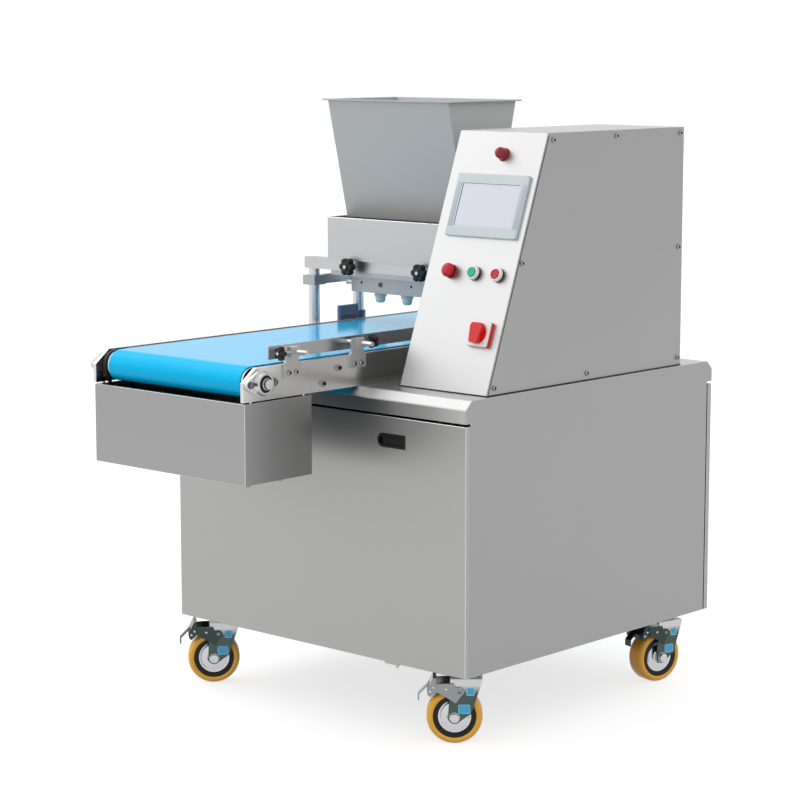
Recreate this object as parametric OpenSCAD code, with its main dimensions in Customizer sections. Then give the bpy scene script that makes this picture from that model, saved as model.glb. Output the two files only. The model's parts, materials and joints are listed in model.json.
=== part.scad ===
// Cookie depositor: wheeled cabinet, tray conveyor, depositing head and control tower.
// Frame: X to the right seen from the front, Y along the conveyor into the machine, Z up.
// The origin is on the floor under the middle of the cabinet. Lengths are in millimetres.

/* [Cabinet] */
// Width over the two side panels
cabinet_w = 813; // [790:1:850]
// Depth from the front panel's face to the rear panel's face
cabinet_d = 816; // [790:1:850]
// Height of the cabinet's bottom edge above the floor
cabinet_z = 152; // [150:1:165]
// Height of the table above the floor
table_z = 701; // [690:1:730]
// Thickness of the cabinet's sheets
sheet_t = 2; // [1.5:0.1:2.5]
// Drop of the table's front and rear lips
lip_h = 45; // [40:1:55]
// Chamfer along the table's front and rear edges
table_chamfer = 17.5; // [12:0.5:22]
// Depth of the front and rear pans
pan_d = 14; // [12:0.5:16]
// Gap left round each pan
pan_gap = 3.5; // [2.5:0.5:5]
// Side of the square corner posts
post_w = 40; // [32:1:46]

/* [Casters] */
// Diameter of the wheels
wheel_d = 112; // [106:1:114]
// Width of the wheels
wheel_w = 44; // [38:1:46]
// Distance from the swivel axis to the axle, seen from above
caster_trail = 28; // [24:1:34]
// Distance from the cabinet's side to the swivel axis
caster_inset_x = 58; // [54:1:70]
// Distance from the cabinet's front or rear to the swivel axis
caster_inset_y = 79; // [70:1:95]
// Radius of the axles
axle_r = 5; // [4:0.5:6]

/* [Conveyor] */
// Length of the conveyor's side plates
conveyor_l = 1404; // [1300:1:1500]
// Width over the side plates
conveyor_w = 435; // [420:1:450]
// Distance from the tower to the near side plate
tower_gap = 61; // [54:1:70]
// Height of the side plates
side_plate_h = 65; // [62:0.5:70]
// Thickness of the side plates
side_plate_t = 8; // [6:0.5:10]
// Width of the belt
belt_w = 380; // [360:1:382]
// Thickness of the belt
belt_t = 2; // [1.5:0.1:2.5]
// Radius of the two belt rollers
roller_r = 29.2; // [27:0.1:29.5]
// Radius of the belt rollers' shafts
roller_shaft_r = 10; // [8:0.5:11]
// Distance from the conveyor's end to the roller's axis
roller_set = 43; // [42:1:52]
// Depth of the drive box along the conveyor
drive_box_d = 184; // [160:1:200]
// Height of the drive box
drive_box_h = 159; // [145:1:180]

/* [Tray guide] */
// Height of the guide rail's strip
guide_h = 26; // [22:1:32]
// Distance from the near plate's outer face to the rail's inner face
guide_set = 32; // [28:1:36]
// Radius of the guide's rods
guide_rod_r = 5; // [4:0.5:6]
// Diameter of the guide's star knobs
guide_knob_d = 29; // [24:1:32]

/* [Depositing head] */
// Height of the support columns above the table
column_h = 185; // [170:1:210]
// Diameter of the support columns
column_d = 25; // [20:1:28]
// Height of the front and rear beams
beam_h = 25; // [22:1:32]
// Depth of the front and rear beams
beam_d = 25; // [25:1:32]
// Distance from the cabinet's front to the line of the nozzles
head_set = 449.5; // [430:0.5:470]
// Width of the roller housing
housing_w = 357; // [340:1:370]
// Depth of the roller housing
housing_d = 219; // [205:1:235]
// Height of the roller housing
housing_h = 93; // [88:1:105]
// Radius of the fluted feed rollers
feed_r = 27; // [24:0.5:27.5]
// Radius of the feed rollers' shafts
feed_shaft_r = 9; // [7:0.5:10]
// Height of the hopper
hopper_h = 275; // [220:1:320]
// Depth of the hopper's mouth
hopper_mouth_d = 222; // [180:1:240]
// Thickness of the hopper's sheet
hopper_t = 2; // [1.5:0.1:3]
// Height of the nozzle block
nozzle_block_h = 42; // [38:1:50]
// Depth of the nozzle block
nozzle_block_d = 64; // [56:1:72]
// Distance between neighbouring nozzles
nozzle_pitch = 80; // [70:1:84]
// Diameter of the nozzles
nozzle_d = 28; // [26:0.5:32]
// Length of the nozzles below their block
nozzle_l = 24; // [18:1:34]
// Diameter of the block's clamp knobs
clamp_knob_d = 40; // [34:1:44]

/* [Tower] */
// Width of the tower
tower_w = 229; // [220:1:240]
// Depth of the tower at its foot
tower_d = 639; // [610:1:650]
// Height of the tower above the table
tower_h = 505; // [490:1:540]
// Set-back of the sloped panel's top edge from its foot
tower_lean = 185; // [150:1:200]
// Distance from the cabinet's right side to the tower's cover
tower_inset = 10; // [6:1:16]
// Distance from the cabinet's front to the tower's foot
tower_front = 73; // [60:1:90]
// Width of the touch screen's frame
screen_w = 184; // [170:1:190]
// Height of the touch screen's frame
screen_h = 131; // [120:1:140]
// Diameter of the button rings
button_d = 29; // [26:0.5:32]
// Width of the main switch's plate
switch_w = 53; // [50:1:60]

/* [Hidden] */
$fn = 64;
// Overrun of every cut past the faces that it opens
over = 1;
// Gap between a moving piece and the face that it rests near
seat_gap = 0.3;
// Radial clearance of a shaft that turns or slides in a bore
fit_gap = 0.05;

// Cabinet
half_w = cabinet_w / 2;
half_d = cabinet_d / 2;
lip_z = table_z - lip_h;
lip_gap = 5;
front_seam = 0.8;
pan_top = lip_z - lip_gap;
pan_back = half_d - pan_d;
side_edge = pan_back - pan_gap;
front_edge = pan_back - front_seam;
post_edge = side_edge - sheet_t;
post_t = 2;
floor_t = 3;
top_rail_h = 30;
top_rail_d = 20;
cable_hole = [110, 160];
latch_l = 73;
latch_h = 28;
latch_set = 194.5;
latch_drop = 53;
latch_rim = 3;
latch_proud = 1.5;
latch_body_d = 11;
paddle_t = 5;
paddle_pin_r = 1.5;
foot_w = 36;
foot_t = 3;
foot_pin_r = 3;
foot_pin_l = 7;

// Casters
caster_names = ["front_left", "front_right", "rear_left", "rear_right"];
caster_sides = [[-1, -1], [1, -1], [-1, 1], [1, 1]];
caster_headings = [228, 221, 240, 255];
wheel_r = wheel_d / 2;
axle_z = wheel_r;
caster_plate = [84, 92];
caster_plate_t = 4;
race_r = 22;
race_h = 13;
crown_t = 4;
crown_top = cabinet_z - caster_plate_t - race_h - seat_gap;
crown_z = crown_top - crown_t;
kingpin_r = 6;
kingpin_head_r = 11;
kingpin_head_h = 4;
leg_t = 3;
leg_gap = 2.5;
leg_in = wheel_w / 2 + leg_gap;
leg_out = leg_in + leg_t;
crown_back = -27;
crown_front = 37;
leg_end_r = 13;
leg_knee = [-5, 64];
leg_foot_share = 0.7;
axle_head_r = 9;
axle_head_h = 7;
tyre_t = 13;
tyre_edge = 6;
hub_r = 15;
hub_w = wheel_w + leg_gap;
web_share = 0.56;
web_w = wheel_w * web_share;
shoulder_share = 0.3;
rim_t = 10;
brake_t = 3;
brake_in = leg_out + seat_gap;
brake_out = brake_in + brake_t;
brake_pin_r = 4;
brake_pin_x = 18.5;
brake_pin_drop = 21;
brake_hub_r = 9;
// Outlines in the caster's X and Z from the brake's pin
brake_cheek = [[-4, 6], [8, 9], [11, 16.5], [33, 16.5], [49, 15], [46, -1], [24, -13], [7, -24], [-4, -8]];
brake_channel = [[45, 14], [47, 27], [53, 27], [65, 2], [63, -8], [58, -12], [44, 2]];
channel_t = 3;
tongue = [[57, 12], [61.5, 12], [83, -10], [83, -24], [80, -24], [80, -11]];
tongue_w = 18;

// Tower
tower_x1 = half_w - tower_inset;
tower_x0 = tower_x1 - tower_w;
tower_y0 = tower_front - half_d;
tower_y1 = tower_y0 + tower_d;
tower_z1 = table_z + tower_h;
lean_angle = atan(tower_lean / tower_h);
panel_l = tower_h / cos(lean_angle);
cover_t = 2;
screen_drop = 90;
screen_side = 28;
screen_frame_t = 6;
screen_recess = 1;
screen_border = [15, 17];
screen_body_inset = 8;
screen_body_d = 38;
lamp_drop = 48;
lamp_side = 129;
lamp_base_r = 14;
lamp_base_h = 3;
lamp_dome_r = 12;
lamp_body_d = 30;
lamp_neck_h = 12;
button_rise = 243;
button_sides = [66, 126.5, 187];
ring_r = button_d / 2;
ring_hs = [5, 12, 12];
ring_lip = 3.2;
barrel_r = ring_r - ring_lip;
barrel_d = 26;
barrel_t = 1.5;
button_r = barrel_r - barrel_t;
button_proud = 2.5;
button_in = 18;
stop_head_r = button_d / 2;
stop_head_h = 11;
stop_head_gap = 6;
stop_head_shares = [[0, 0], [0.9, 0], [1, 0.18], [1, 0.35], [0.86, 0.75], [0.55, 0.95], [0, 1]];
switch_h = 51;
switch_rise = 95.5;
switch_side = 153;
switch_t = 10;
switch_boss_r = 20;
switch_boss_h = 2;
switch_body_r = 17;
switch_body_d = 40;
handle_r = 14;
handle_h = 4;
// Grip's half outline as shares of its width and length, widest near its top
grip_w = 30;
grip_l = 40;
grip_h = 10.5;
grip_shares = [[0.3, -0.5], [0.36, -0.42], [0.5, 0.3], [0.46, 0.42], [0.36, 0.5]];
handle_shaft_r = 4;

// Conveyor
near_x = tower_x0 - tower_gap;
far_x = near_x - conveyor_w;
near_in = near_x - side_plate_t;
far_in = far_x + side_plate_t;
conveyor_mid = (near_x + far_x) / 2;
plate_top = table_z + side_plate_h;
plate_nose_h = 38;
plate_nose_l = 35;
belt_gap = seat_gap;
belt_r = roller_r + belt_gap + belt_t;
belt_lift = 3;
roller_z = table_z + belt_lift + belt_r;
belt_top = roller_z + belt_r;
conveyor_y = -9;
roller_half = conveyor_l / 2 - roller_set;
front_roller_y = conveyor_y - roller_half;
rear_roller_y = conveyor_y + roller_half;
belt_near_gap = 14;
belt_x1 = near_in - belt_near_gap;
belt_x0 = belt_x1 - belt_w;
roller_over = 5;
roller_wall = 4;
roller_end_t = 8;
shaft_out = 30;
plate_hole_gap = 4;
plate_hole_r = roller_shaft_r + plate_hole_gap;
bed_t = 2;
bed_top = roller_z + roller_r;
bed_flange = 30;
bed_end_gap = 8;
bearing_r = 26;
bearing_ear_r = 10;
bearing_end_gap = 1;
bearing_span = roller_set - bearing_ear_r - bearing_end_gap;
bearing_flange_t = 9;
bearing_h = 20;
bearing_bolt_r = 5;
bearing_bolt_h = 7;
drive_gap = 3;
drive_box_set = 3;
drive_box_t = 2;
drive_flange = 9;
drive_spacer_r = 3;
drive_spacer_set = 20;
box_y0 = conveyor_y + drive_box_set - conveyor_l / 2;
box_y1 = box_y0 + drive_box_d;
box_top = table_z - drive_gap;
box_z = box_top - drive_box_h;
pulley_w = 13;
pulley_gap = 3;
pulley_x1 = belt_x0 - roller_over - pulley_gap;
pulley_x0 = pulley_x1 - pulley_w;
pulley_teeth = 26;
motor_teeth = 16;
pulley_pitch = 6.5;
pulley_r = pulley_teeth * pulley_pitch / (2 * PI);
motor_pulley_r = motor_teeth * pulley_pitch / (2 * PI);
tooth_h = 1.6;
pulley_width_shares = [0.7, 0.6, 0.5];
timing_t = 2.5;
timing_w = 10;
timing_steps = 24;
motor_axis_rise = 62;
motor_y = (box_y0 + box_y1) / 2;
motor_z = box_z + motor_axis_rise;
motor_shaft_r = 6;
gearbox_gap = 6;
gearbox = [44, 66, 66];
motor_r = 35;
motor_l = 112;
motor_foot = [70, 90, 5];
motor_post_w = 40;

// Star knobs: lobe radius as a share of the knob's diameter
lobe_share = 0.16;

// Tray guide
guide_t = 4;
guide_lift = 6;
guide_z = belt_top + guide_lift;
guide_front_set = 96;
guide_rear_y = 220;
guide_x0 = near_x - guide_set;
guide_y0 = conveyor_y + guide_front_set - conveyor_l / 2;
rod_share = 0.62;
rod_z = guide_z + guide_h * rod_share;
rod_out = 44;
rod_in = 14;
bracket_first = 34;
bracket_step = 185;
bracket_last = 90;
bracket_ys = [guide_y0 + bracket_first, guide_y0 + bracket_first + bracket_step, guide_rear_y - bracket_last];
bracket_w = 48;
bracket_neck_w = 34;
bracket_t = 4;
bracket_drop = 27;
bracket_boss = 10;
bracket_boss_w = 20;
bracket_top = rod_z + bracket_boss_w / 2;
guide_knob_h = 12;
guide_knob_out = 33;
guide_stud_r = 3;

// Depositing head
head_y = head_set - half_d;
beam_z = table_z + column_h;
beam_top = beam_z + beam_h;
front_beam_set = 87.5;
rear_beam_set = 55.5;
front_beam_y = head_y - front_beam_set;
rear_beam_y = head_y + rear_beam_set;
column_gap = 10;
column_x = far_x - column_gap - column_d / 2;
beam_end = 18;
beam_x0 = column_x - beam_end;
side_rail_h = 21;
side_rail_drop = 16;
side_rail_t = 12;
side_clamp_w = 36;
side_rail_z = beam_z - side_rail_drop - side_rail_h;
housing_x0 = conveyor_mid - housing_w / 2;
housing_x1 = conveyor_mid + housing_w / 2;
housing_y0 = head_y - housing_d / 2;
housing_y1 = head_y + housing_d / 2;
housing_t = 3;
housing_floor_t = 8;
housing_top = beam_top + housing_h;
block_gap = 1;
block_side = 20;
block_x0 = housing_x0 + housing_t + block_gap;
block_x1 = housing_x1 - housing_t - block_side;
block_end_t = 12;
block_wall = 5;
block_rise = 66;
block_z = beam_top + housing_floor_t;
block_top = block_z + block_rise;
feed_gap = 1;
chamber_gap = 1.5;
chamber_r = feed_r + chamber_gap;
chamber_floor = 2.5;
feed_pitch_r = feed_r + feed_gap;
feed_z = block_z + chamber_floor + chamber_r;
block_half = feed_pitch_r + chamber_r + block_wall;
throat_half = 40;
outlet_half = 8;
flutes = 10;
flute_r = 5;
gear_teeth = 16;
gear_w = 13;
gear_gap = 2;
gear_module = 2 * feed_pitch_r / gear_teeth;
root_share = 1.15;
tip_share = 0.85;
gear_width_shares = [0.62, 0.42, 0.2];
feed_shaft_in = 28;
shaft_hole_gap = 3.5;
shaft_hole_r = feed_shaft_r + shaft_hole_gap;
hopper_side_gap = 2;
hopper_x0 = housing_x0 + housing_t + hopper_side_gap;
hopper_x1 = housing_x1 - housing_t - hopper_side_gap;
hopper_z = block_top + seat_gap;
hopper_top = hopper_z + hopper_h;
hopper_foot_half = 47;
hopper_rim = 5.5;
hopper_side_rim = 12;
hopper_rim_t = 3;
hopper_floor_t = 2;
ledge_t = 10;
ledge_z = beam_z - ledge_t;
ledge_set = 2;
ledge_y0 = front_beam_y - beam_d / 2 + ledge_set;
ledge_y1 = rear_beam_y + beam_d / 2 - ledge_set;
neck_half = 38;
nozzle_block_z = ledge_z - nozzle_block_h;
nozzle_count = 4;
nozzle_bore_r = 9;
nozzle_spigot_r = 12;
nozzle_spigot_l = 12;
nozzle_root_r = 11.5;
// Nozzle's tip as shares of its radius and length
nozzle_tip_shares = [[1, 0.6], [0.94, 0.78], [0.8, 0.92], [0.62, 1]];
nozzle_hole_r = 6;
nozzle_collar_l = 10;
channel_floor = 16;
front_hole_pitch = 148;
front_hole_r = 3;
front_hole_d = 15;
end_rod_r = 5;
end_rod_out = 43;
end_rod_in = 10;
end_rod_rise = 15;
clamp_knob_h = 15;
clamp_knob_out = 16;
clamp_stud_r = 4;
clamp_stud_in = 12;
clamp_knob_span = 210;
clamp_knob_xs = [conveyor_mid - clamp_knob_span / 2, conveyor_mid + clamp_knob_span / 2];
clamp_z = beam_z + beam_h / 2;
clamp_y = front_beam_y - beam_d / 2;
feed_gearbox = [60, 90, 90];
feed_motor_r = 38;
feed_motor_l = 110;
reflector = [8, 61, 40];
reflector_rise = 56;
reflector_gap = 5;
reflector_clip_h = 24;
reflector_clip_t = 4;
reflector_rim = 4;
reflector_recess = 1;

// Outline in Y and Z, extruded along X
module along_x(x0, x1) {
    translate([x0, 0, 0]) rotate([90, 0, 90]) linear_extrude(x1 - x0) children();
}

// Outline in X and Z, extruded along Y
module along_y(y0, y1) {
    translate([0, y1, 0]) rotate([90, 0, 0]) linear_extrude(y1 - y0) children();
}

// Box between two opposite corners
module box(low, high) {
    translate(low) cube(high - low);
}

// Round bar along X
module bar_x(x0, x1, r, y, z) {
    translate([x0, y, z]) rotate([0, 90, 0]) cylinder(r = r, h = x1 - x0);
}

// Round bar along Y
module bar_y(y0, y1, r, x, z) {
    translate([x, y1, z]) rotate([90, 0, 0]) cylinder(r = r, h = y1 - y0);
}

// Two circles, the second one out along X, joined by their outer tangents
module tangent_loop(r_a, r_b, span) {
    lean = acos((r_a - r_b) / span);
    edge = [cos(lean), sin(lean)];
    fold = [edge.x, -edge.y];
    circle(r_a);
    translate([span, 0]) circle(r_b);
    polygon([r_a * edge, r_a * fold, [span, 0] + r_b * fold, [span, 0] + r_b * edge]);
}

// Star knob's outline: a round core with lobes
module star(d, lobes) {
    lobe_r = d * lobe_share;
    circle(d / 2 - lobe_r);
    for (i = [0 : lobes - 1])
        rotate(i * 360 / lobes) translate([d / 2 - lobe_r, 0]) circle(lobe_r);
}

// Toothed wheel's outline from root, pitch and tip radii, with its tooth widths as shares of the pitch
module toothed(teeth, root, pitch, tip, width_shares) {
    step = 360 / teeth;
    radii = [root, pitch, tip];
    polygon([for (i = [0 : teeth - 1], k = [0 : 5])
        let (level = k < 3 ? k : 5 - k, side = k < 3 ? -1 : 1)
        let (angle = step * (i + side * width_shares[level] / 2))
        radii[level] * [cos(angle), sin(angle)]]);
}

// Cabinet
// Profile of the table and the side panels' top, in Y and Z, drawn in from the outside by inset
module table_profile(inset, low) {
    edge = half_d - inset;
    top = table_z - inset;
    fold = inset * tan(22.5);
    polygon([
        [-edge, low],
        [-edge, table_z - table_chamfer - fold],
        [-half_d + table_chamfer + fold, top],
        [half_d - table_chamfer - fold, top],
        [edge, table_z - table_chamfer - fold],
        [edge, low]]);
}

module base_frame() color("dimgray") {
    frame_x = half_w - sheet_t;
    frame_y = pan_back - seat_gap;
    post_top = table_z - sheet_t;
    box([-frame_x, -frame_y, cabinet_z], [frame_x, frame_y, cabinet_z + floor_t]);
    for (sx = [-1, 1], sy = [-1, 1])
        translate([sx * (frame_x - post_w / 2), sy * (post_edge - post_w / 2), cabinet_z + floor_t / 2])
            linear_extrude(post_top - cabinet_z - floor_t / 2) difference() {
                square(post_w, center = true);
                square(post_w - 2 * post_t, center = true);
            }
    for (sy = [-1, 1])
        translate([0, sy * (post_edge - top_rail_d / 2), post_top - top_rail_h / 2])
            cube([2 * (frame_x - post_w + post_t / 2), top_rail_d, top_rail_h], center = true);
}

module side_panel_profile() {
    difference() {
        table_profile(0, cabinet_z);
        translate([-half_d - over, cabinet_z - over])
            square([half_d + over - front_edge, lip_z - cabinet_z + over]);
        translate([side_edge, cabinet_z - over])
            square([half_d + over - side_edge, lip_z - cabinet_z + over]);
    }
}

module left_side_panel() color("silver") along_x(-half_w, sheet_t - half_w) side_panel_profile();

module right_side_panel() color("silver") along_x(half_w - sheet_t, half_w) side_panel_profile();

module table_top() color("gainsboro") difference() {
    along_x(sheet_t - half_w, half_w - sheet_t) table_profile(0, lip_z);
    along_x(-half_w, half_w) table_profile(sheet_t, lip_z - over);
    translate([(tower_x0 + tower_x1) / 2, (tower_y0 + tower_y1) / 2, table_z])
        cube([cable_hole.x, cable_hole.y, 4 * sheet_t], center = true);
}

// Pan open to +Y, standing with its face at y = 0
module pan() {
    difference() {
        box([-half_w, 0, cabinet_z], [half_w, pan_d, pan_top]);
        box([sheet_t - half_w, sheet_t, cabinet_z + sheet_t],
            [half_w - sheet_t, pan_d + over, pan_top - sheet_t]);
    }
}

latch_x = half_w - latch_set;
latch_z = lip_z - latch_drop;

// Latch outline in X and Z: round at its left end, square at its right end
module latch_outline(inset) {
    r = latch_h / 2 - inset;
    translate([latch_x - latch_l / 2 + latch_h / 2, latch_z]) {
        circle(r);
        translate([0, -r]) square([latch_l - latch_h / 2 - inset, 2 * r]);
    }
}

module front_panel() color("lightgray") {
    difference() {
        translate([0, -half_d, 0]) pan();
        along_y(-half_d - over, pan_d - half_d) latch_outline(latch_rim - fit_gap);
    }
    translate([latch_x - foot_w / 2, -half_d, cabinet_z - foot_t]) cube([foot_w, pan_d, foot_t]);
    translate([latch_x + foot_w / 4, pan_d / 2 - half_d, cabinet_z - foot_t - foot_pin_l])
        cylinder(r = foot_pin_r, h = foot_pin_l);
}

paddle_pin = [latch_x - latch_l / 2 + latch_h / 2, paddle_t / 2 - half_d];
paddle_half = latch_h / 2 - 2 * latch_rim - seat_gap;

module front_latch() color("black") {
    pin_half = paddle_half + latch_rim / 2;
    difference() {
        union() {
            along_y(-half_d - latch_proud, -half_d) latch_outline(0);
            along_y(-half_d, latch_body_d - half_d) latch_outline(latch_rim);
        }
        along_y(-half_d - latch_proud - over, paddle_t + 2 * seat_gap - half_d)
            latch_outline(2 * latch_rim - seat_gap);
        translate([paddle_pin.x, paddle_pin.y, latch_z - pin_half])
            cylinder(r = paddle_pin_r + fit_gap, h = 2 * pin_half);
    }
}

module latch_paddle() color("black") {
    pin_half = paddle_half + latch_rim / 2 - seat_gap;
    paddle_end = latch_x + latch_l / 2 - 2 * latch_rim;
    translate([paddle_pin.x, paddle_pin.y, latch_z - paddle_half]) linear_extrude(2 * paddle_half) {
        circle(paddle_t / 2);
        translate([0, -paddle_t / 2]) square([paddle_end - paddle_pin.x, paddle_t]);
    }
    translate([paddle_pin.x, paddle_pin.y, latch_z - pin_half]) cylinder(r = paddle_pin_r, h = 2 * pin_half);
}

module rear_panel() color("lightgray") mirror([0, 1, 0]) translate([0, -half_d, 0]) pan();

// Casters
function caster_at(i) = [
    caster_sides[i].x * (half_w - caster_inset_x),
    caster_sides[i].y * (half_d - caster_inset_y)];

// Places a caster drawn at the origin with its wheel trailing along +X
module at_caster(i) {
    translate([caster_at(i).x, caster_at(i).y, 0]) rotate(caster_headings[i]) children();
}

module caster_plates() color("lightsteelblue") {
    for (i = [0 : 3]) translate([caster_at(i).x, caster_at(i).y, 0]) {
        translate([0, 0, cabinet_z - caster_plate_t / 2])
            cube([caster_plate.x, caster_plate.y, caster_plate_t], center = true);
        translate([0, 0, crown_top + seat_gap]) cylinder(r = race_r, h = race_h + caster_plate_t / 2);
        translate([0, 0, crown_z - seat_gap]) cylinder(r = kingpin_r, h = crown_t + race_h);
        translate([0, 0, crown_z - seat_gap - kingpin_head_h]) cylinder(r = kingpin_head_r, h = kingpin_head_h);
    }
}

module fork_leg_outline() {
    polygon([
        [crown_back, crown_top],
        [crown_back, crown_z],
        leg_knee,
        [caster_trail - leg_end_r * leg_foot_share, axle_z - leg_end_r * leg_foot_share],
        [caster_trail + leg_end_r, axle_z],
        [crown_front, crown_z],
        [crown_front, crown_top]]);
    translate([caster_trail, axle_z]) circle(leg_end_r);
}

brake_pin_z = crown_z - brake_pin_drop;

module caster_fork(i) color("slategray") at_caster(i) {
    difference() {
        union() {
            box([crown_back, -leg_out, crown_z], [crown_front, leg_out, crown_top]);
            along_y(leg_in, leg_out) fork_leg_outline();
            along_y(-leg_out, -leg_in) fork_leg_outline();
        }
        translate([0, 0, crown_z - over]) cylinder(r = kingpin_r + fit_gap, h = crown_t + 2 * over);
    }
    bar_y(-leg_out - axle_head_h, leg_out + axle_head_h, axle_r, caster_trail, axle_z);
    for (side = [0, 1]) mirror([0, side, 0]) {
        bar_y(leg_out, leg_out + axle_head_h, axle_head_r, caster_trail, axle_z);
        bar_y(leg_in, brake_out, brake_pin_r, brake_pin_x, brake_pin_z);
    }
}

module caster_wheel(i) color("orange") at_caster(i)
    translate([caster_trail, 0, axle_z]) rotate([90, 0, 0]) {
        half = wheel_w / 2;
        core_r = wheel_r - tyre_t;
        shoulder = tyre_edge * shoulder_share;
        // Tyre with rounded shoulders
        rotate_extrude() polygon([
            [core_r, -half], [wheel_r - tyre_edge, -half], [wheel_r - shoulder, shoulder - half],
            [wheel_r, tyre_edge - half], [wheel_r, half - tyre_edge],
            [wheel_r - shoulder, half - shoulder], [wheel_r - tyre_edge, half], [core_r, half]]);
        // Core with a rim, a thinner web and a hub
        rotate_extrude() polygon([
            [axle_r + fit_gap, -hub_w / 2], [hub_r, -hub_w / 2], [hub_r, -web_w / 2],
            [core_r - rim_t, -web_w / 2], [core_r - rim_t, -half], [core_r, -half],
            [core_r, half], [core_r - rim_t, half], [core_r - rim_t, web_w / 2],
            [hub_r, web_w / 2], [hub_r, hub_w / 2], [axle_r + fit_gap, hub_w / 2]]);
    }

module from_brake_pin() {
    translate([brake_pin_x, brake_pin_z]) children();
}

module brake_cheek_outline() from_brake_pin() {
    circle(brake_hub_r);
    polygon(brake_cheek);
}

// Brake: a cheek on each leg, a channel between the cheeks and a tongue with its tip folded down
module caster_brake(i) color("silver") at_caster(i) {
    difference() {
        union() {
            along_y(brake_in, brake_out) brake_cheek_outline();
            along_y(-brake_out, -brake_in) brake_cheek_outline();
        }
        bar_y(-brake_out - over, brake_out + over, brake_pin_r + fit_gap, brake_pin_x, brake_pin_z);
    }
    difference() {
        along_y(-brake_in - over, brake_in + over) from_brake_pin() polygon(brake_channel);
        along_y(channel_t - brake_in, brake_in - channel_t)
            from_brake_pin() translate([-channel_t, -channel_t]) polygon(brake_channel);
    }
    along_y(-tongue_w / 2, tongue_w / 2) from_brake_pin() polygon(tongue);
}

// Conveyor
module side_plate_outline() {
    front = conveyor_y - conveyor_l / 2;
    rear = conveyor_y + conveyor_l / 2;
    difference() {
        polygon([
            [front, table_z],
            [front, table_z + plate_nose_h],
            [front + plate_nose_l, plate_top],
            [rear - plate_nose_l, plate_top],
            [rear, table_z + plate_nose_h],
            [rear, table_z]]);
        for (y = [front_roller_y, rear_roller_y]) translate([y, roller_z]) circle(plate_hole_r);
    }
}

module near_side_plate() color("silver") along_x(near_in, near_x) side_plate_outline();

module far_side_plate() color("silver") along_x(far_x, far_in) side_plate_outline();

module slider_bed() color("lightgray") {
    end = roller_r + bed_end_gap;
    along_y(front_roller_y + end, rear_roller_y - end) difference() {
        translate([far_in, bed_top - bed_flange]) square([near_in - far_in, bed_flange]);
        translate([far_in + bed_t, bed_top - bed_flange - over])
            square([near_in - far_in - 2 * bed_t, bed_flange - bed_t + over]);
    }
}

module belt_loop(r) {
    for (y = [front_roller_y, rear_roller_y]) translate([y, roller_z]) circle(r);
    translate([front_roller_y, roller_z - r]) square([2 * roller_half, 2 * r]);
}

module conveyor_belt() color("dodgerblue") along_x(belt_x0, belt_x1) difference() {
    belt_loop(belt_r);
    belt_loop(belt_r - belt_t);
}

// Belt roller: a closed tube on a through shaft
module belt_roller(y) {
    difference() {
        bar_x(belt_x0 - roller_over, belt_x1 + roller_over, roller_r, y, roller_z);
        bar_x(belt_x0 - roller_over + roller_end_t, belt_x1 + roller_over - roller_end_t,
            roller_r - roller_wall, y, roller_z);
    }
    bar_x(far_x - shaft_out, near_x + shaft_out, roller_shaft_r, y, roller_z);
}

module front_roller() color("gainsboro") {
    belt_roller(front_roller_y);
    along_x(pulley_x0, belt_x0) translate([front_roller_y, roller_z])
        circle(pulley_r - 2 * tooth_h);
    along_x(pulley_x0, pulley_x1) translate([front_roller_y, roller_z])
        toothed(pulley_teeth, pulley_r - tooth_h, pulley_r - tooth_h / 2, pulley_r, pulley_width_shares);
}

module rear_roller() color("gainsboro") belt_roller(rear_roller_y);

// Oval flange bearing on the face x = 0, its boss towards +X
module flange_bearing() {
    difference() {
        union() {
            along_x(0, bearing_flange_t) {
                tangent_loop(bearing_r, bearing_ear_r, bearing_span);
                mirror([1, 0]) tangent_loop(bearing_r, bearing_ear_r, bearing_span);
            }
            bar_x(0, bearing_h, bearing_r - bearing_flange_t / 2, 0, 0);
            for (sy = [-1, 1])
                bar_x(bearing_flange_t - over / 2, bearing_flange_t + bearing_bolt_h, bearing_bolt_r,
                    sy * bearing_span, 0);
        }
        bar_x(-over, bearing_h + over, roller_shaft_r + fit_gap, 0, 0);
    }
}

module roller_bearings() color("lightgray") {
    for (y = [front_roller_y, rear_roller_y]) {
        translate([near_x, y, roller_z]) flange_bearing();
        translate([far_x, y, roller_z]) mirror([1, 0, 0]) flange_bearing();
    }
}

module drive_box() color("darkgray") {
    t = drive_box_t;
    difference() {
        box([far_x, box_y0, box_z], [near_x, box_y1, box_top]);
        box([far_x + t, box_y0 + t, box_z + t], [near_x - t, box_y1 - t, box_top - t]);
        box([far_x + drive_flange, box_y0 + drive_flange, box_top - 2 * t],
            [near_x - drive_flange, box_y1 - drive_flange, box_top + over]);
    }
    for (x = [far_x, near_in], y = [box_y0 + drive_spacer_set, box_y1 - drive_spacer_set])
        translate([x + side_plate_t / 2, y, box_top - t / 2])
            cylinder(r = drive_spacer_r, h = drive_gap + t / 2);
}

gearbox_x0 = pulley_x1 + gearbox_gap;

module drive_motor() color("dimgray") {
    floor_z = box_z + drive_box_t;
    difference() {
        union() {
            translate([gearbox_x0, motor_y - gearbox.y / 2, motor_z - gearbox.z / 2]) cube(gearbox);
            bar_x(gearbox_x0 + gearbox.x, gearbox_x0 + gearbox.x + motor_l, motor_r, motor_y, motor_z);
            translate([gearbox_x0, motor_y - motor_foot.y / 2, floor_z]) cube(motor_foot);
            translate([gearbox_x0, motor_y - motor_post_w / 2, floor_z])
                cube([gearbox.x, motor_post_w, motor_z - floor_z]);
        }
        bar_x(gearbox_x0 - over, gearbox_x0 + gearbox.x / 2, motor_shaft_r + fit_gap, motor_y, motor_z);
    }
}

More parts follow.
